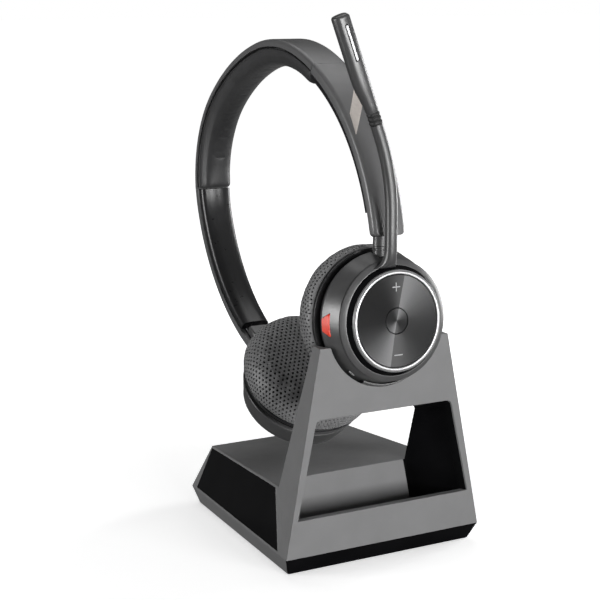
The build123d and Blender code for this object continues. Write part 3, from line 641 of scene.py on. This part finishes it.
def round_edges():
    """Small rounded edges on the hard CAD pieces."""
    for name, width in EDGED.items():
        node = NODES[name]
        weld = node.modifiers.new("weld", "WELD")
        weld.merge_threshold = EDGE_WELD * MM
        flat = node.modifiers.new("flat", "DECIMATE")
        flat.decimate_type = "DISSOLVE"
        flat.angle_limit = math.radians(FLAT_ANGLE)
        bevel = node.modifiers.new("bevel", "BEVEL")
        bevel.width = width * MM
        bevel.segments = 2
        bevel.limit_method = "ANGLE"
        bevel.angle_limit = math.radians(EDGE_ANGLE)
        bevel.harden_normals = True
        node.modifiers.new("normals", "WEIGHTED_NORMAL").keep_sharp = True


# ---- Ear cups -----------------------------------------------------------------------------

SHELL_FRONT = (23.7, 4.55)
SHELL_REAR = (26.3, 13.2)
PIVOT = (0.0, 21.5, -11.6)  # tilt pivot in an ear cup's frame
REAR_BARREL_HEADING = 245.5
KNUCKLE_OPENING = ((-2.95, 2.95), (18.0, 30.0), (-15.0, -6.6))
DISC_R = 17.9
BUTTON_R = 4.95
MARK_HALF = 1.7  # half length and half width of a mark's stroke, and its distance from the middle
MARK_THIN = 0.2
MARK_PLACE = 13.2
MARK_DEPTHS = (0.7, 0.42)
MUTE_CLEARANCE = (1.06, 1.07)


def shell_radius(depth):
    """Radius of an ear cup's side at a depth."""
    (r0, d0), (r1, d1) = SHELL_FRONT, SHELL_REAR
    return r0 + (r1 - r0) * (depth - d0) / (d1 - d0)


def on_shell(up, depth, height):
    """Point on the left side of an ear cup."""
    radius = shell_radius(depth) + height
    return Vector((-math.sqrt(radius**2 - up**2), up, -depth))


MUTE_WEDGE = softened([(-4.7, 9.2), (4.7, 9.2), (2.5, 12.9), (-2.5, 12.9)], 0.5)


def mute_hole():
    """Cutter for the mute button's opening, a little larger than the button."""
    middle = sum(depth for _, depth in MUTE_WEDGE) / len(MUTE_WEDGE)
    wider, deeper = MUTE_CLEARANCE
    ring = [(up * wider, middle + (depth - middle) * deeper) for up, depth in MUTE_WEDGE]
    points = [(x, up, -depth) for x in (-30.0, -20.0) for up, depth in ring]
    return points, end_faces(2, len(ring)) + skin_faces(2, len(ring))


def cup_side(prefix, placed, body):
    """Side shell of an ear cup, a near-black ring painted as the shade in its groove, and the opening for
    its knuckle.
    """
    outline = [(19.8, 4.55), SHELL_FRONT, SHELL_REAR, (26.2, 13.75), (24.6, 13.85), (24.6, 17.3),
               (23.6, 17.3), (23.6, 14.0), (21.6, 6.3), (19.8, 6.3)]
    outline = softened(outline, [0, 0.25, 0.6, 0.25, 0, 0, 0, 0, 0, 0])
    shell = turned(prefix + "side_shell", outline, body, MATERIALS["shell_black"], placed,
                   replaces=[prefix + "cup_shell"], slot="shell_black")
    # The groove's ring uses the near-black hole material as painted shade.
    groove = [(24.2, 13.9), (24.75, 13.9), (24.75, 17.38), (24.2, 17.38)]
    dark = turned(prefix + "groove", groove, body, MATERIALS["hole_dark"], placed, slot="shell_black")
    opening = box_mesh(*KNUCKLE_OPENING)
    cut(shell, *opening, placed)
    cut(dark, *opening, placed)
    if prefix == "front_":
        cut(shell, *mute_hole(), placed)


def knuckle(prefix, placed):
    """Round barrel between an ear cup and its sliding arm."""
    outline = [(0, 3.0), (1.6, 2.9), (2.5, 2.3), (2.75, 1.2), (2.75, -5.5), (2.5, -5.7), (2.5, -6.1),
               (2.75, -6.3), (2.75, -7.0), (0, -7.0)]
    turned(prefix + "barrel", outline, prefix + "knuckle", MATERIALS["shell_black"], placed, segments=48,
           replaces=[prefix + "knuckle"], slot="shell_black")


def barrel_frame(cup, heading):
    """Frame at a cup's pivot whose Z runs along its barrel."""
    a = math.radians(heading)
    across = Vector((1, 0, 0))
    up = Vector((0, -math.sin(a), -math.cos(a)))
    placed = Matrix((across, up.cross(across), up)).transposed().to_4x4()
    placed.translation = cup @ (Vector(PIVOT) * MM)
    return placed


def front_controls():
    """Trim ring, disc, call button, marks and the mute button."""
    ring = softened([(18.3, 1.6), (18.3, -0.1), (19.15, -0.1), (19.15, 1.6)], [0, 0.3, 0.3, 0])
    turned("trim", ring, "front_cup", MATERIALS["chrome_trim"], FRONT_CUP, replaces=["trim_ring"],
           slot="chrome_trim")
    disc = [(5.15, 1.5), (5.15, 0.95), (5.3, 0.86), (17.75, 0.3), (DISC_R, 0.4), (DISC_R, 1.1)]
    turned("disc", disc, "volume_disc", MATERIALS["brushed_disc"], FRONT_CUP, segments=192, smooth=15.0,
           replaces=["volume_disc"], slot="brushed_disc")
    button = [(0, 0.95), (0.25, 0.95), (4.75, 0.88), (BUTTON_R, 1.0), (BUTTON_R, 2.4), (0, 2.4)]
    turned("button", button, "call_button", MATERIALS["brushed_disc"], FRONT_CUP, segments=96, smooth=15.0,
           replaces=["call_button"], slot="brushed_disc")
    # A near-black well behind the disc: painted shade that shows through the gaps round the disc and the
    # call button.
    well = [(18.4, 1.6), (18.4, 1.9), (6.0, 2.6), (6.0, 3.4), (0, 3.4), (0, 3.1), (5.7, 3.1), (5.7, 2.3)]
    turned("disc_well", well, "front_cup", MATERIALS["hole_dark"], FRONT_CUP, slot="shell_black")
    half, thin = MARK_HALF, MARK_THIN
    plus = [(half, thin), (thin, thin), (thin, half), (-thin, half), (-thin, thin), (-half, thin),
            (-half, -thin), (-thin, -thin), (-thin, -half), (thin, -half), (thin, -thin), (half, -thin)]
    rings = [[(x, y + MARK_PLACE, -depth) for x, y in plus] for depth in MARK_DEPTHS]
    loft("plus_mark", rings, "volume_disc", MATERIALS["mark_grey"], FRONT_CUP, replaces=["volume_marks"],
         slot="mark_grey")
    minus = [(half + 0.2, thin), (-half - 0.2, thin), (-half - 0.2, -thin), (half + 0.2, -thin)]
    rings = [[(x, y - MARK_PLACE, -depth) for x, y in minus] for depth in MARK_DEPTHS]
    loft("minus_mark", rings, "volume_disc", MATERIALS["mark_grey"], FRONT_CUP, slot="mark_grey")
    layers = [(1.0, -2.4), (1.0, 0.2), (0.92, 0.38), (0.6, 0.4), (0.3, 0.4), (0.02, 0.4)]
    inlaid("mute", densified(MUTE_WEDGE, 0.8), on_shell, layers, "mute_button", MATERIALS["mute_red"],
           placed=FRONT_CUP, replaces=["mute_button"], slot="mute_red")


def rear_cap():
    """Plain domed back of the rear ear cup, with a turned step round it."""
    outline = [(0, 0.7), (16.8, 0.9), (18.3, 1.3), (18.5, 1.75), (18.9, 1.75), (19.3, 1.5), (19.9, 1.6),
               (23.7, 4.0), (23.6, 4.25), (19.9, 4.25), (18.0, 3.2), (0, 2.4)]
    outline = softened(outline, [0, 0.3, 0.3, 0.1, 0.1, 0.2, 0.4, 0.2, 0, 0, 0, 0])
    turned("rear_cap", outline, "rear_cup", MATERIALS["shell_black"], REAR_CUP,
           replaces=["rear_cup_cap"], slot="shell_black")


# ---- Boom ---------------------------------------------------------------------------------

STALK = [  # height, half width, front y and rear y of the stalk's straight part, foot first
    (119.2, 4.9, -55.0, -52.6), (119.5, 4.3, -56.0, -52.7), (120.0, 3.7, -57.4, -52.9),
    (120.8, 3.15, -58.6, -53.3), (122.0, 2.7, -59.4, -54.0), (123.8, 2.4, -59.9, -55.0),
    (126.5, 2.2, -60.15, -55.85), (133.0, 2.2, -60.2, -55.8), (140.0, 2.25, -60.2, -55.8),
]
BEND_STEPS = 10
BOOM_HALF = (2.25, 2.35)  # half width where the bend starts and where it ends
BOOM_DEEP = 2.2
GRIP_LOW = 4.6
GRIP_LENGTH = 5.0
GRIP_RIBS = 3
RIB_STEPS = 8
RIB_HEIGHT = 0.28
MIC_TOP = 47.8
MIC_RIGHT = 2.4
MIC_ROUND = 1.0  # height over which its top rounds off
SLOT_X = -0.95
SLOT_BELOW_TOP = 10.6
SQUARENESS = 2.5


def oval(half_x, half_y, count=40):
    """A rounded outline between an ellipse and a rectangle."""
    ring = []
    for step in range(count):
        a = 2 * math.pi * step / count
        c, s = math.cos(a), math.sin(a)
        x = half_x * math.copysign(abs(c) ** (2 / SQUARENESS), c)
        y = half_y * math.copysign(abs(s) ** (2 / SQUARENESS), s)
        ring.append((x, y))
    return ring


def tip_frame():
    """Frame where the boom's bend ends, Z along the boom and Y to the rear."""
    a = math.radians(BOOM_BEND)
    x = BOOM_X - BOOM_BEND_R * (1 - math.cos(a))
    z = BOOM_STRAIGHT_TOP + BOOM_BEND_R * math.sin(a)
    axes = Matrix(((math.cos(a), 0, -math.sin(a)), (0, 1, 0), (math.sin(a), 0, math.cos(a)))).to_4x4()
    axes.translation = Vector((x, BOOM_Y, z)) * MM
    return axes


def boom_ring():
    """Turning ring round the front of the ear cup: bright lip, dark band and outer bevel."""
    lip = [(19.22, 1.6), (19.22, 0.15), (19.75, 0.15), (19.95, 0.6), (19.95, 1.6)]
    turned("ring_lip", softened(lip, [0, 0.15, 0.2, 0, 0]), "boom", MATERIALS["arm_grey"], FRONT_CUP,
           replaces=["boom_ring"], slot="shell_black")
    band = [(19.7, 3.2), (19.8, 0.6), (21.5, 2.75), (21.5, 3.2)]
    turned("ring_band", softened(band, [0, 0.2, 0, 0]), "boom", MATERIALS["gloss_black"], FRONT_CUP,
           slot="gloss_black")
    bevel = [(21.4, 4.1), (21.4, 2.5), (23.8, 3.75), (23.75, 4.1)]
    turned("ring_bevel", softened(bevel, [0, 0.3, 0.2, 0]), "boom", MATERIALS["shell_black"], FRONT_CUP,
           slot="shell_black")


def stalk(tip):
    """The boom's stalk, from its foot on the ring through its bend to the grip."""
    rings = []
    for z, half, front, rear in STALK:
        middle, deep = (front + rear) / 2, (rear - front) / 2
        rings.append([(BOOM_X + x, middle + y, z) for x, y in oval(half, deep)])
    start, end = BOOM_HALF
    for step in range(1, BEND_STEPS + 1):
        a = math.radians(BOOM_BEND * step / BEND_STEPS)
        ring = []
        for x, y in oval(start + (end - start) * step / BEND_STEPS, BOOM_DEEP):
            reach = BOOM_BEND_R + x
            ring.append((BOOM_X - BOOM_BEND_R + reach * math.cos(a), BOOM_Y + y,
                         BOOM_STRAIGHT_TOP + reach * math.sin(a)))
        rings.append(ring)
    rings.append([tip @ (Vector((x, y, GRIP_LOW)) * MM) / MM for x, y in oval(end, BOOM_DEEP)])
    loft("stalk", rings, "boom", MATERIALS["boom_black"], replaces=["boom_arm"], slot="boom_black")


def grip(tip):
    """Ribbed rubber sleeve between the stalk and the microphone."""
    rings = []
    steps = GRIP_RIBS * RIB_STEPS
    for step in range(steps + 1):
        t = step / steps
        swell = RIB_HEIGHT * (0.5 - 0.5 * math.cos(2 * math.pi * GRIP_RIBS * t)) ** 0.6
        rings.append([(x, y, GRIP_LOW + GRIP_LENGTH * t) for x, y in oval(2.2 + swell, 2.05 + swell)])
    loft("grip", rings, "boom", MATERIALS["rubber_black"], tip, replaces=["boom_grip"], slot="rubber_black")


def microphone(tip):
    """Microphone housing, wider to the left towards its top, and the slot in its front."""
    low = GRIP_LOW + GRIP_LENGTH
    profile = [  # height, left side, half depth
        (low, -2.4, 2.2), (low + 0.4, -2.5, 2.3), (low + 3, -2.75, 2.4), (low + 6, -3.3, 2.6),
        (low + 9, -3.9, 2.8), (low + 12, -4.2, 2.9), (low + 16, -4.3, 2.95),
        (MIC_TOP - MIC_ROUND, -4.3, 2.95), (MIC_TOP - 0.5, -4.2, 2.85), (MIC_TOP - 0.15, -3.9, 2.6),
        (MIC_TOP, -3.4, 2.2),
    ]
    rings = []
    for z, left, deep in profile:
        right = MIC_RIGHT - 0.9 * max(0.0, z - MIC_TOP + MIC_ROUND)
        middle = (left + right) / 2
        rings.append([(middle + x, y, z) for x, y in oval((right - left) / 2, deep)])
    loft("mic_body", rings, "boom", MATERIALS["boom_black"], tip, replaces=["mic_housing"],
         slot="boom_black")
    slot_middle = MIC_TOP - SLOT_BELOW_TOP
    # mic_slot_edge is a near-black border round the grille, painted as the shade of the slot's rim.
    for name, material, half, length, front in (
        ("mic_slot_edge", "hole_dark", 0.85, 7.2, -3.0), ("mic_slot", "grille_silver", 0.45, 6.7, -3.06)
    ):
        corners = [(-half, -length), (half, -length), (half, length), (-half, length)]
        outline = softened(corners, half * 0.9)
        rings = [[(SLOT_X + x, y, slot_middle + z) for x, z in outline] for y in (-1.5, front)]
        options = {"replaces": ["mic_grille"]} if material == "grille_silver" else {}
        loft(name, rings, "boom", MATERIALS[material], tip, slot="chrome_trim", **options)


# ---- Headband -----------------------------------------------------------------------------

END_ROUND = 2.0
END_STATIONS = [0.0, 0.15, 0.4, 0.8]  # degrees from an end
END_CLEAR = 1.25
CROWN_HALF = 8.05
INNER_STEP = 0.55  # how much narrower than its cover an arm's inner half is
ROOT_CHANNEL = 5.15  # half width of the hollow round a strip's root, and round the strip
STRIP_CHANNEL = 4.85
COVER_WALL = 0.45


def arm_half_width(heading, joint, free_end):
    """Half an arm's width, narrower towards its free end."""
    t = (heading - joint) / (free_end - joint)
    return (ARM_WIDTH_TOP + (ARM_WIDTH_END - ARM_WIDTH_TOP) * t) / 2


def stations(start, end, step=1.2):
    """Rising headings along an arm, closer together at its two ends."""
    count = math.ceil((end - start) / step)
    inner = [start + (end - start) * i / count for i in range(1, count)]
    middle = [heading for heading in inner if start + END_CLEAR < heading < end - END_CLEAR]
    return [start + f for f in END_STATIONS] + middle + [end - f for f in reversed(END_STATIONS)]


def corner_loss(heading, free_end):
    """How much narrower an arm is near its free end, for rounded corners."""
    distance = math.radians(abs(heading - free_end)) * arc_at(heading)[1]
    if distance >= END_ROUND:
        return 0.0
    return END_ROUND - math.sqrt(END_ROUND**2 - (END_ROUND - distance) ** 2)


def arm(prefix, arm_range, root, inner_range, hollow):
    """Cover and inner half of an arm, hollow for the sliding strip and its root."""
    free_end, joint = arm_range if prefix == "front_" else reversed(arm_range)
    rings = []
    for heading in stations(*arm_range):
        half = arm_half_width(heading, joint, free_end) - corner_loss(heading, free_end)
        if root[0] <= heading <= root[1]:
            channel, roof = ROOT_CHANNEL, 2.15
        else:
            channel, roof = STRIP_CHANNEL, 3.15 if hollow[0] <= heading <= hollow[1] else 3.9
        channel = min(channel, half - COVER_WALL)
        outline = [(channel, roof), (channel, 4.0), (half, 4.0), (half, 1.5), (half - 0.15, 0.95),
                   (half - 0.55, 0.45), (half - 1.25, 0.08), (half - 1.7, 0.0), (half / 3, 0.0)]
        outline += [(-x, depth) for x, depth in reversed(outline)]
        rings.append([band_point(x, heading, depth) for x, depth in outline])
    loft(prefix + "cover", rings, "headband", MATERIALS["arm_grey"], replaces=[prefix + "arm_cover"],
         slot="arm_grey", smooth=28.0)
    rings = []
    for heading in stations(*inner_range):
        half = arm_half_width(heading, joint, free_end) - INNER_STEP
        outline = [(STRIP_CHANNEL, 4.95), (STRIP_CHANNEL, 4.06), (half, 4.06), (half, 5.9),
                   (half - 0.5, 6.9), (half - 1.6, 7.6), (2.2, 8.0), (0.7, 7.95)]
        outline += [(-x, depth) for x, depth in reversed(outline)]
        rings.append([band_point(x, heading, depth) for x, depth in outline])
    loft(prefix + "inner", rings, "headband", MATERIALS["inner_black"], replaces=[prefix + "arm_inner"],
         slot="shell_black", smooth=40.0)


def crown():
    """Crown shell with rounded edges."""
    rings = []
    half = CROWN_HALF
    side = [(half, 3.0), (half, 1.6), (half - 0.15, 1.0), (half - 0.6, 0.4), (half - 1.4, 0.05),
            (half - 2.0, 0.0)]
    outline = [*side, *[(-x, depth) for x, depth in reversed(side)]]
    for heading in stations(CROWN[0] + 0.1, CROWN[1] - 0.1, 1.5):
        rings.append([band_point(x, heading, depth) for x, depth in outline])
    loft("crown_cover", rings, "headband", MATERIALS["arm_grey"], replaces=["crown_shell"], slot="arm_grey")


TAG_HEADING = 44.3


def on_band(x, distance, height):
    """Point on the band's outer face, a distance along it from the tag's middle."""
    return band_point(x, along(TAG_HEADING, distance), -height)


def arm_tag():
    outline = densified(softened([(-6.3, -12.2), (-5.2, -1.8), (3.0, 12.2), (3.4, 4.0)], 0.25), 1.0)
    layers = [(1.0, -0.3), (1.0, 0.05), (0.97, 0.09), (0.6, 0.09), (0.3, 0.09), (0.02, 0.09)]
    inlaid("tag", outline, on_band, layers, "headband", MATERIALS["tag_silver"], replaces=["arm_tag"],
           slot="tag_silver")


# ---- Padded pieces --------------------------------------------------------------------------

PAD_PROFILE = [  # (radius, depth) of a cushion from its back edge over the roll to its dished middle
    (26.6, 18.7), (27.6, 19.3), (28.5, 21.2), (28.95, 23.6), (28.9, 26.0), (28.3, 28.4), (27.1, 30.6),
    (25.4, 32.2), (23.6, 33.1), (22.6, 33.2), (22.0, 32.85), (21.3, 32.9), (20.0, 33.3), (15.0, 33.7),
    (8.0, 33.9), (0.0, 34.0),
]
PAD_BACK = 18.7  # depth of a cushion's flat back
PAD_HELD = 20.5  # the cloth is held down to this depth
PAD_SWELL = 0.9
PAD_VOXEL = 0.8
PAD_SEGMENTS = 96
PLAIN_EDGE = 1.6  # no holes this near the back edge
HELD_EDGE = 0.8  # nearer than this the plain profile is kept
SLOPE_REACH = 0.4
RAY_REACH = 3.0
HOLE_SIDES = 12
HOLE_TURN = 360 // HOLE_SIDES
HOLE_TAPER = 0.85
KEY_SCALE = 50  # lattice corners this fine are the same point
LINING_STEPS = 90
LINING_HELD = 4.6
LINING_SWELL = 0.8
LINING_VOXEL = 0.9
BAND_MIDDLE = (14.0, 120.0)  # (y, z)
PIPING_R = 0.35
PIPING_SIDES = 8


def swollen(name, points, faces, held, limit, voxel):
    """The closed shape blown up by a short cloth simulation, each point moving at most limit mm."""
    pad = new_object(name, new_mesh(name, [Vector(p) * MM * SIM_SCALE for p in points], faces, SIM_MERGE))
    remesh = pad.modifiers.new("remesh", "REMESH")
    remesh.mode = "VOXEL"
    remesh.voxel_size = voxel * MM * SIM_SCALE
    graph = bpy.context.evaluated_depsgraph_get()
    pad.data = bpy.data.meshes.new_from_object(pad.evaluated_get(graph))
    pad.modifiers.clear()
    start = np.empty(len(pad.data.vertices) * 3)
    pad.data.vertices.foreach_get("co", start)
    start = start.reshape(-1, 3)
    moved = start
    group = pad.vertex_groups.new(name="held")
    kept = [i for i, p in enumerate(start / (MM * SIM_SCALE)) if held(p)]
    group.add(kept, 1.0, "REPLACE")
    cloth = pad.modifiers.new("cloth", "CLOTH")
    cloth.settings.quality = 5
    cloth.settings.mass = 0.3
    cloth.settings.tension_stiffness = 20
    cloth.settings.compression_stiffness = 20
    cloth.settings.bending_stiffness = 1.0
    cloth.settings.use_pressure = True
    cloth.settings.uniform_pressure_force = 4.0
    cloth.settings.effector_weights.gravity = 0.0
    cloth.settings.vertex_group_mass = "held"
    cloth.collision_settings.use_collision = False
    scene = bpy.context.scene
    for step in range(1, SIM_FRAMES + 1):
        scene.frame_set(step)
    graph = bpy.context.evaluated_depsgraph_get()
    result = pad.evaluated_get(graph).to_mesh()
    moved = np.empty(len(result.vertices) * 3)
    result.vertices.foreach_get("co", moved)
    moved = moved.reshape(-1, 3)
    pad.evaluated_get(graph).to_mesh_clear()
    pad.modifiers.clear()
    scene.frame_set(1)
    shift = moved - start
    length = np.linalg.norm(shift, axis=1, keepdims=True)
    most = limit * MM * SIM_SCALE
    shift *= np.minimum(1.0, most * np.tanh(length / most) / np.maximum(length, 1e-9))
    pad.data.vertices.foreach_set("co", (start + shift).ravel())
    pad.data.update()
    pad.data.transform(Matrix.Scale(1 / SIM_SCALE, 4))
    pad.data.update()
    return pad


def profile_table():
    """Arc length, radius and depth along the cushion's profile, from its middle outwards."""
    rounded = softened(PAD_PROFILE, 1.2, closed=False, steps=5)[::-1]
    radius = np.array([p[0] for p in rounded])
    depth = np.array([p[1] for p in rounded])
    length = np.concatenate([[0], np.cumsum(np.hypot(np.diff(radius), np.diff(depth)))])
    return length, radius, depth


def pad_surface(prefix, levels):
    """The swollen pad of an ear cushion, in millimetres, for rays to be cast on."""
    points = []
    for turn in range(PAD_SEGMENTS):
        a = 2 * math.pi * turn / PAD_SEGMENTS
        points += [(r * math.cos(a), r * math.sin(a), -d) for r, d in levels]
        points.append((0, 0, -PAD_BACK))
    faces = skin_faces(PAD_SEGMENTS, len(levels) + 1, closed=True)
    pad = swollen(prefix + "pad_sim", points, faces, lambda p: p[2] > -PAD_HELD, PAD_SWELL, PAD_VOXEL)
    mesh = pad.data
    surface = BVHTree.FromPolygons([v.co / MM for v in mesh.vertices], [p.vertices for p in mesh.polygons])
    bpy.data.objects.remove(pad)
    bpy.data.meshes.remove(mesh)
    return surface


def pad_point(surface, table, u, v, sunk=0.0):
    """Point of a cushion whose unrolled place is (u, v), sunk this far under its swollen surface."""
    length, radius, depth = table
    total = length[-1]
    s = min(math.hypot(u, v), total)
    a = math.atan2(v, u)
    r = float(np.interp(s, length, radius))
    d = float(np.interp(s, length, depth))
    before, after = max(s - SLOPE_REACH, 0.0), min(s + SLOPE_REACH, total)
    along_r = float(np.interp(after, length, radius) - np.interp(before, length, radius))
    along_d = float(np.interp(after, length, depth) - np.interp(before, length, depth))
    size = math.hypot(along_r, along_d)
    normal_r, normal_z = -along_d / size, -along_r / size
    normal = Vector((normal_r * math.cos(a), normal_r * math.sin(a), normal_z))
    point = Vector((r * math.cos(a), r * math.sin(a), -d))
    if s < total - HELD_EDGE:
        hit = surface.ray_cast(point + normal * RAY_REACH, -normal, 2 * RAY_REACH)
        if hit[0] is not None:
            point = hit[0]
    return point - normal * sunk


def hole_lattice(point_at, total):
    """Points and faces of a hexagonal lattice of small holes, and which faces are hole floors."""
    points, faces, floors = [], [], []
    shared = {}

    def circle(u, v, reach, sunk=0.0):
        ring = []
        for step in range(HOLE_SIDES):
            a = math.radians(HOLE_TURN * (step + 1))
            ring.append(len(points))
            points.append(point_at(u + reach * math.cos(a), v + reach * math.sin(a), sunk))
        return ring

    row_step = HOLE_PITCH * math.sqrt(3) / 2
    corner = HOLE_PITCH / math.sqrt(3)
    rows = int(total / row_step) + 2
    for row in range(-rows, rows + 1):
        for column in range(-rows - 2, rows + 3):
            u = (column + 0.5 * (row % 2)) * HOLE_PITCH
            v = row * row_step
            distance = math.hypot(u, v)
            if distance > total + 0.3 * HOLE_PITCH:
                continue
            cell = []
            for step in range(HOLE_SIDES):
                a = math.radians(HOLE_TURN * (step + 1))
                reach = corner if step % 2 == 0 else HOLE_PITCH / 2
                cell_u, cell_v = u + reach * math.cos(a), v + reach * math.sin(a)
                key = (round(cell_u * KEY_SCALE), round(cell_v * KEY_SCALE))
                if key not in shared:
                    shared[key] = len(points)
                    points.append(point_at(cell_u, cell_v))
                cell.append(shared[key])
            if distance > total - PLAIN_EDGE:
                faces.append(tuple(cell))
                continue
            rim = circle(u, v, HOLE_R)
            floor = circle(u, v, HOLE_TAPER * HOLE_R, HOLE_DEPTH)
            for step in range(HOLE_SIDES):
                after = (step + 1) % HOLE_SIDES
                faces.append((cell[step], cell[after], rim[after], rim[step]))
                faces.append((rim[step], rim[after], floor[after], floor[step]))
            floors.append(len(faces))
            faces.append(tuple(floor))
    return points, faces, floors


def cushion(prefix, placed, body):
    """Perforated ear cushion: a lattice of small holes laid over the swollen pad, and its seam."""
    table = profile_table()
    _, radius, depth = table
    surface = pad_surface(prefix, list(zip(radius, depth))[::-1])

    def point_at(u, v, sunk=0.0):
        return pad_point(surface, table, u, v, sunk)

    points, faces, floors = hole_lattice(point_at, table[0][-1])
    mesh = bpy.data.meshes.new(prefix + "perforated")
    mesh.from_pydata([p * MM for p in points], [], faces)
    mesh.materials.append(MATERIALS["cushion_leather"])
    mesh.materials.append(MATERIALS["hole_dark"])
    for index in floors:
        mesh.polygons[index].material_index = 1
    clean = bmesh.new()
    clean.from_mesh(mesh)
    bmesh.ops.remove_doubles(clean, verts=clean.verts, dist=SIM_MERGE)
    bmesh.ops.dissolve_degenerate(clean, edges=clean.edges, dist=SIM_MERGE)
    open_edges = [edge for edge in clean.edges if edge.is_boundary]
    bmesh.ops.holes_fill(clean, edges=open_edges, sides=0)
    bmesh.ops.recalc_face_normals(clean, faces=clean.faces)
    clean.to_mesh(mesh)
    clean.free()
    mesh.shade_smooth()
    mesh.set_sharp_from_angle(angle=math.radians(50))
    piece = new_object(prefix + "perforated", mesh, placed)
    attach(piece, body)
    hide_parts(prefix + "cushion")
    seam = softened([(26.4, 18.45), (27.0, 18.45), (27.35, 18.8), (27.0, 19.15), (26.4, 19.15)], 0.15)
    turned(prefix + "seam", seam, body, MATERIALS["inner_black"], placed, slot="cushion_leather")


def crown_pad():
    """Padded lining of the crown, simulated as one closed tube, with piping along both sides."""
    rings = []
    low, high = CROWN[0] + 0.45, CROWN[1] - 0.45
    for step in range(LINING_STEPS + 1):
        heading = low + (high - low) * step / LINING_STEPS
        end = min(step, LINING_STEPS - step) / LINING_STEPS * (high - low)
        pull = max(0.0, 1.0 - end / 1.5)
        half, deep = 7.4 - 0.4 * pull, 10.9 - 1.2 * pull
        side = [(half, 3.8), (half, 5.6), (half - 0.2, 7.0), (half - 1.2, deep - 1.3),
                (half - 2.8, deep - 0.3), (2.0, deep)]
        outline = [*side, *[(-x, depth) for x, depth in reversed(side)]]
        rings.append([band_point(x, heading, depth) for x, depth in outline])
    count = len(rings[0])
    points = [p for ring in rings for p in ring]
    faces = skin_faces(len(rings), count) + end_faces(len(rings), count)

    def held(p):
        heading = math.degrees(math.atan2(p[2] - BAND_MIDDLE[1], -(p[1] - BAND_MIDDLE[0])))
        (y, z), radius = arc_at(heading if heading > 0 else heading + 360)
        return radius - math.hypot(p[1] - y, p[2] - z) < LINING_HELD

    pad = swollen("crown_lining", points, faces, held, LINING_SWELL, LINING_VOXEL)
    pad.data.materials.clear()
    pad.data.materials.append(MATERIALS["crown_fabric"])
    pad.data.shade_smooth()
    smooth = pad.modifiers.new("smooth", "SUBSURF")
    smooth.levels = 1
    smooth.render_levels = 1
    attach(pad, "headband")
    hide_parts("crown_pad")
    for name, side in (("crown_piping_right", 1), ("crown_piping_left", -1)):
        rings = []
        for heading in stations(low, high, 1.5):
            ring = []
            for step in range(PIPING_SIDES):
                a = 2 * math.pi * step / PIPING_SIDES
                x = side * 7.35 + PIPING_R * math.cos(a)
                ring.append(band_point(x, heading, 4.3 + PIPING_R * math.sin(a)))
            rings.append(ring)
        loft(name, rings, "headband", MATERIALS["crown_fabric"], slot="crown_fabric")


# ---- Everything together --------------------------------------------------------------------

add_camera()
add_floor()
add_surround()
add_lights()
dress_frame()
round_edges()
cup_side("front_", FRONT_CUP, "front_cup")
cup_side("rear_", REAR_CUP, "rear_cup")
rear_cap()
front_controls()
knuckle("front_", barrel_frame(FRONT_CUP, 180.0))
knuckle("rear_", barrel_frame(REAR_CUP, REAR_BARREL_HEADING))
boom_ring()
TIP = tip_frame()
stalk(TIP)
grip(TIP)
microphone(TIP)
arm("front_", FRONT_ARM, (9.0, 16.6), (16.6, FRONT_ARM[1]), (9.0, 50.0))
arm("rear_", REAR_ARM, (239.4, 248.0), (REAR_ARM[0], 239.4), (206.0, 248.0))
crown()
arm_tag()
crown_pad()
cushion("front_", FRONT_CUP, "front_cup")
cushion("rear_", REAR_CUP, "rear_cup")
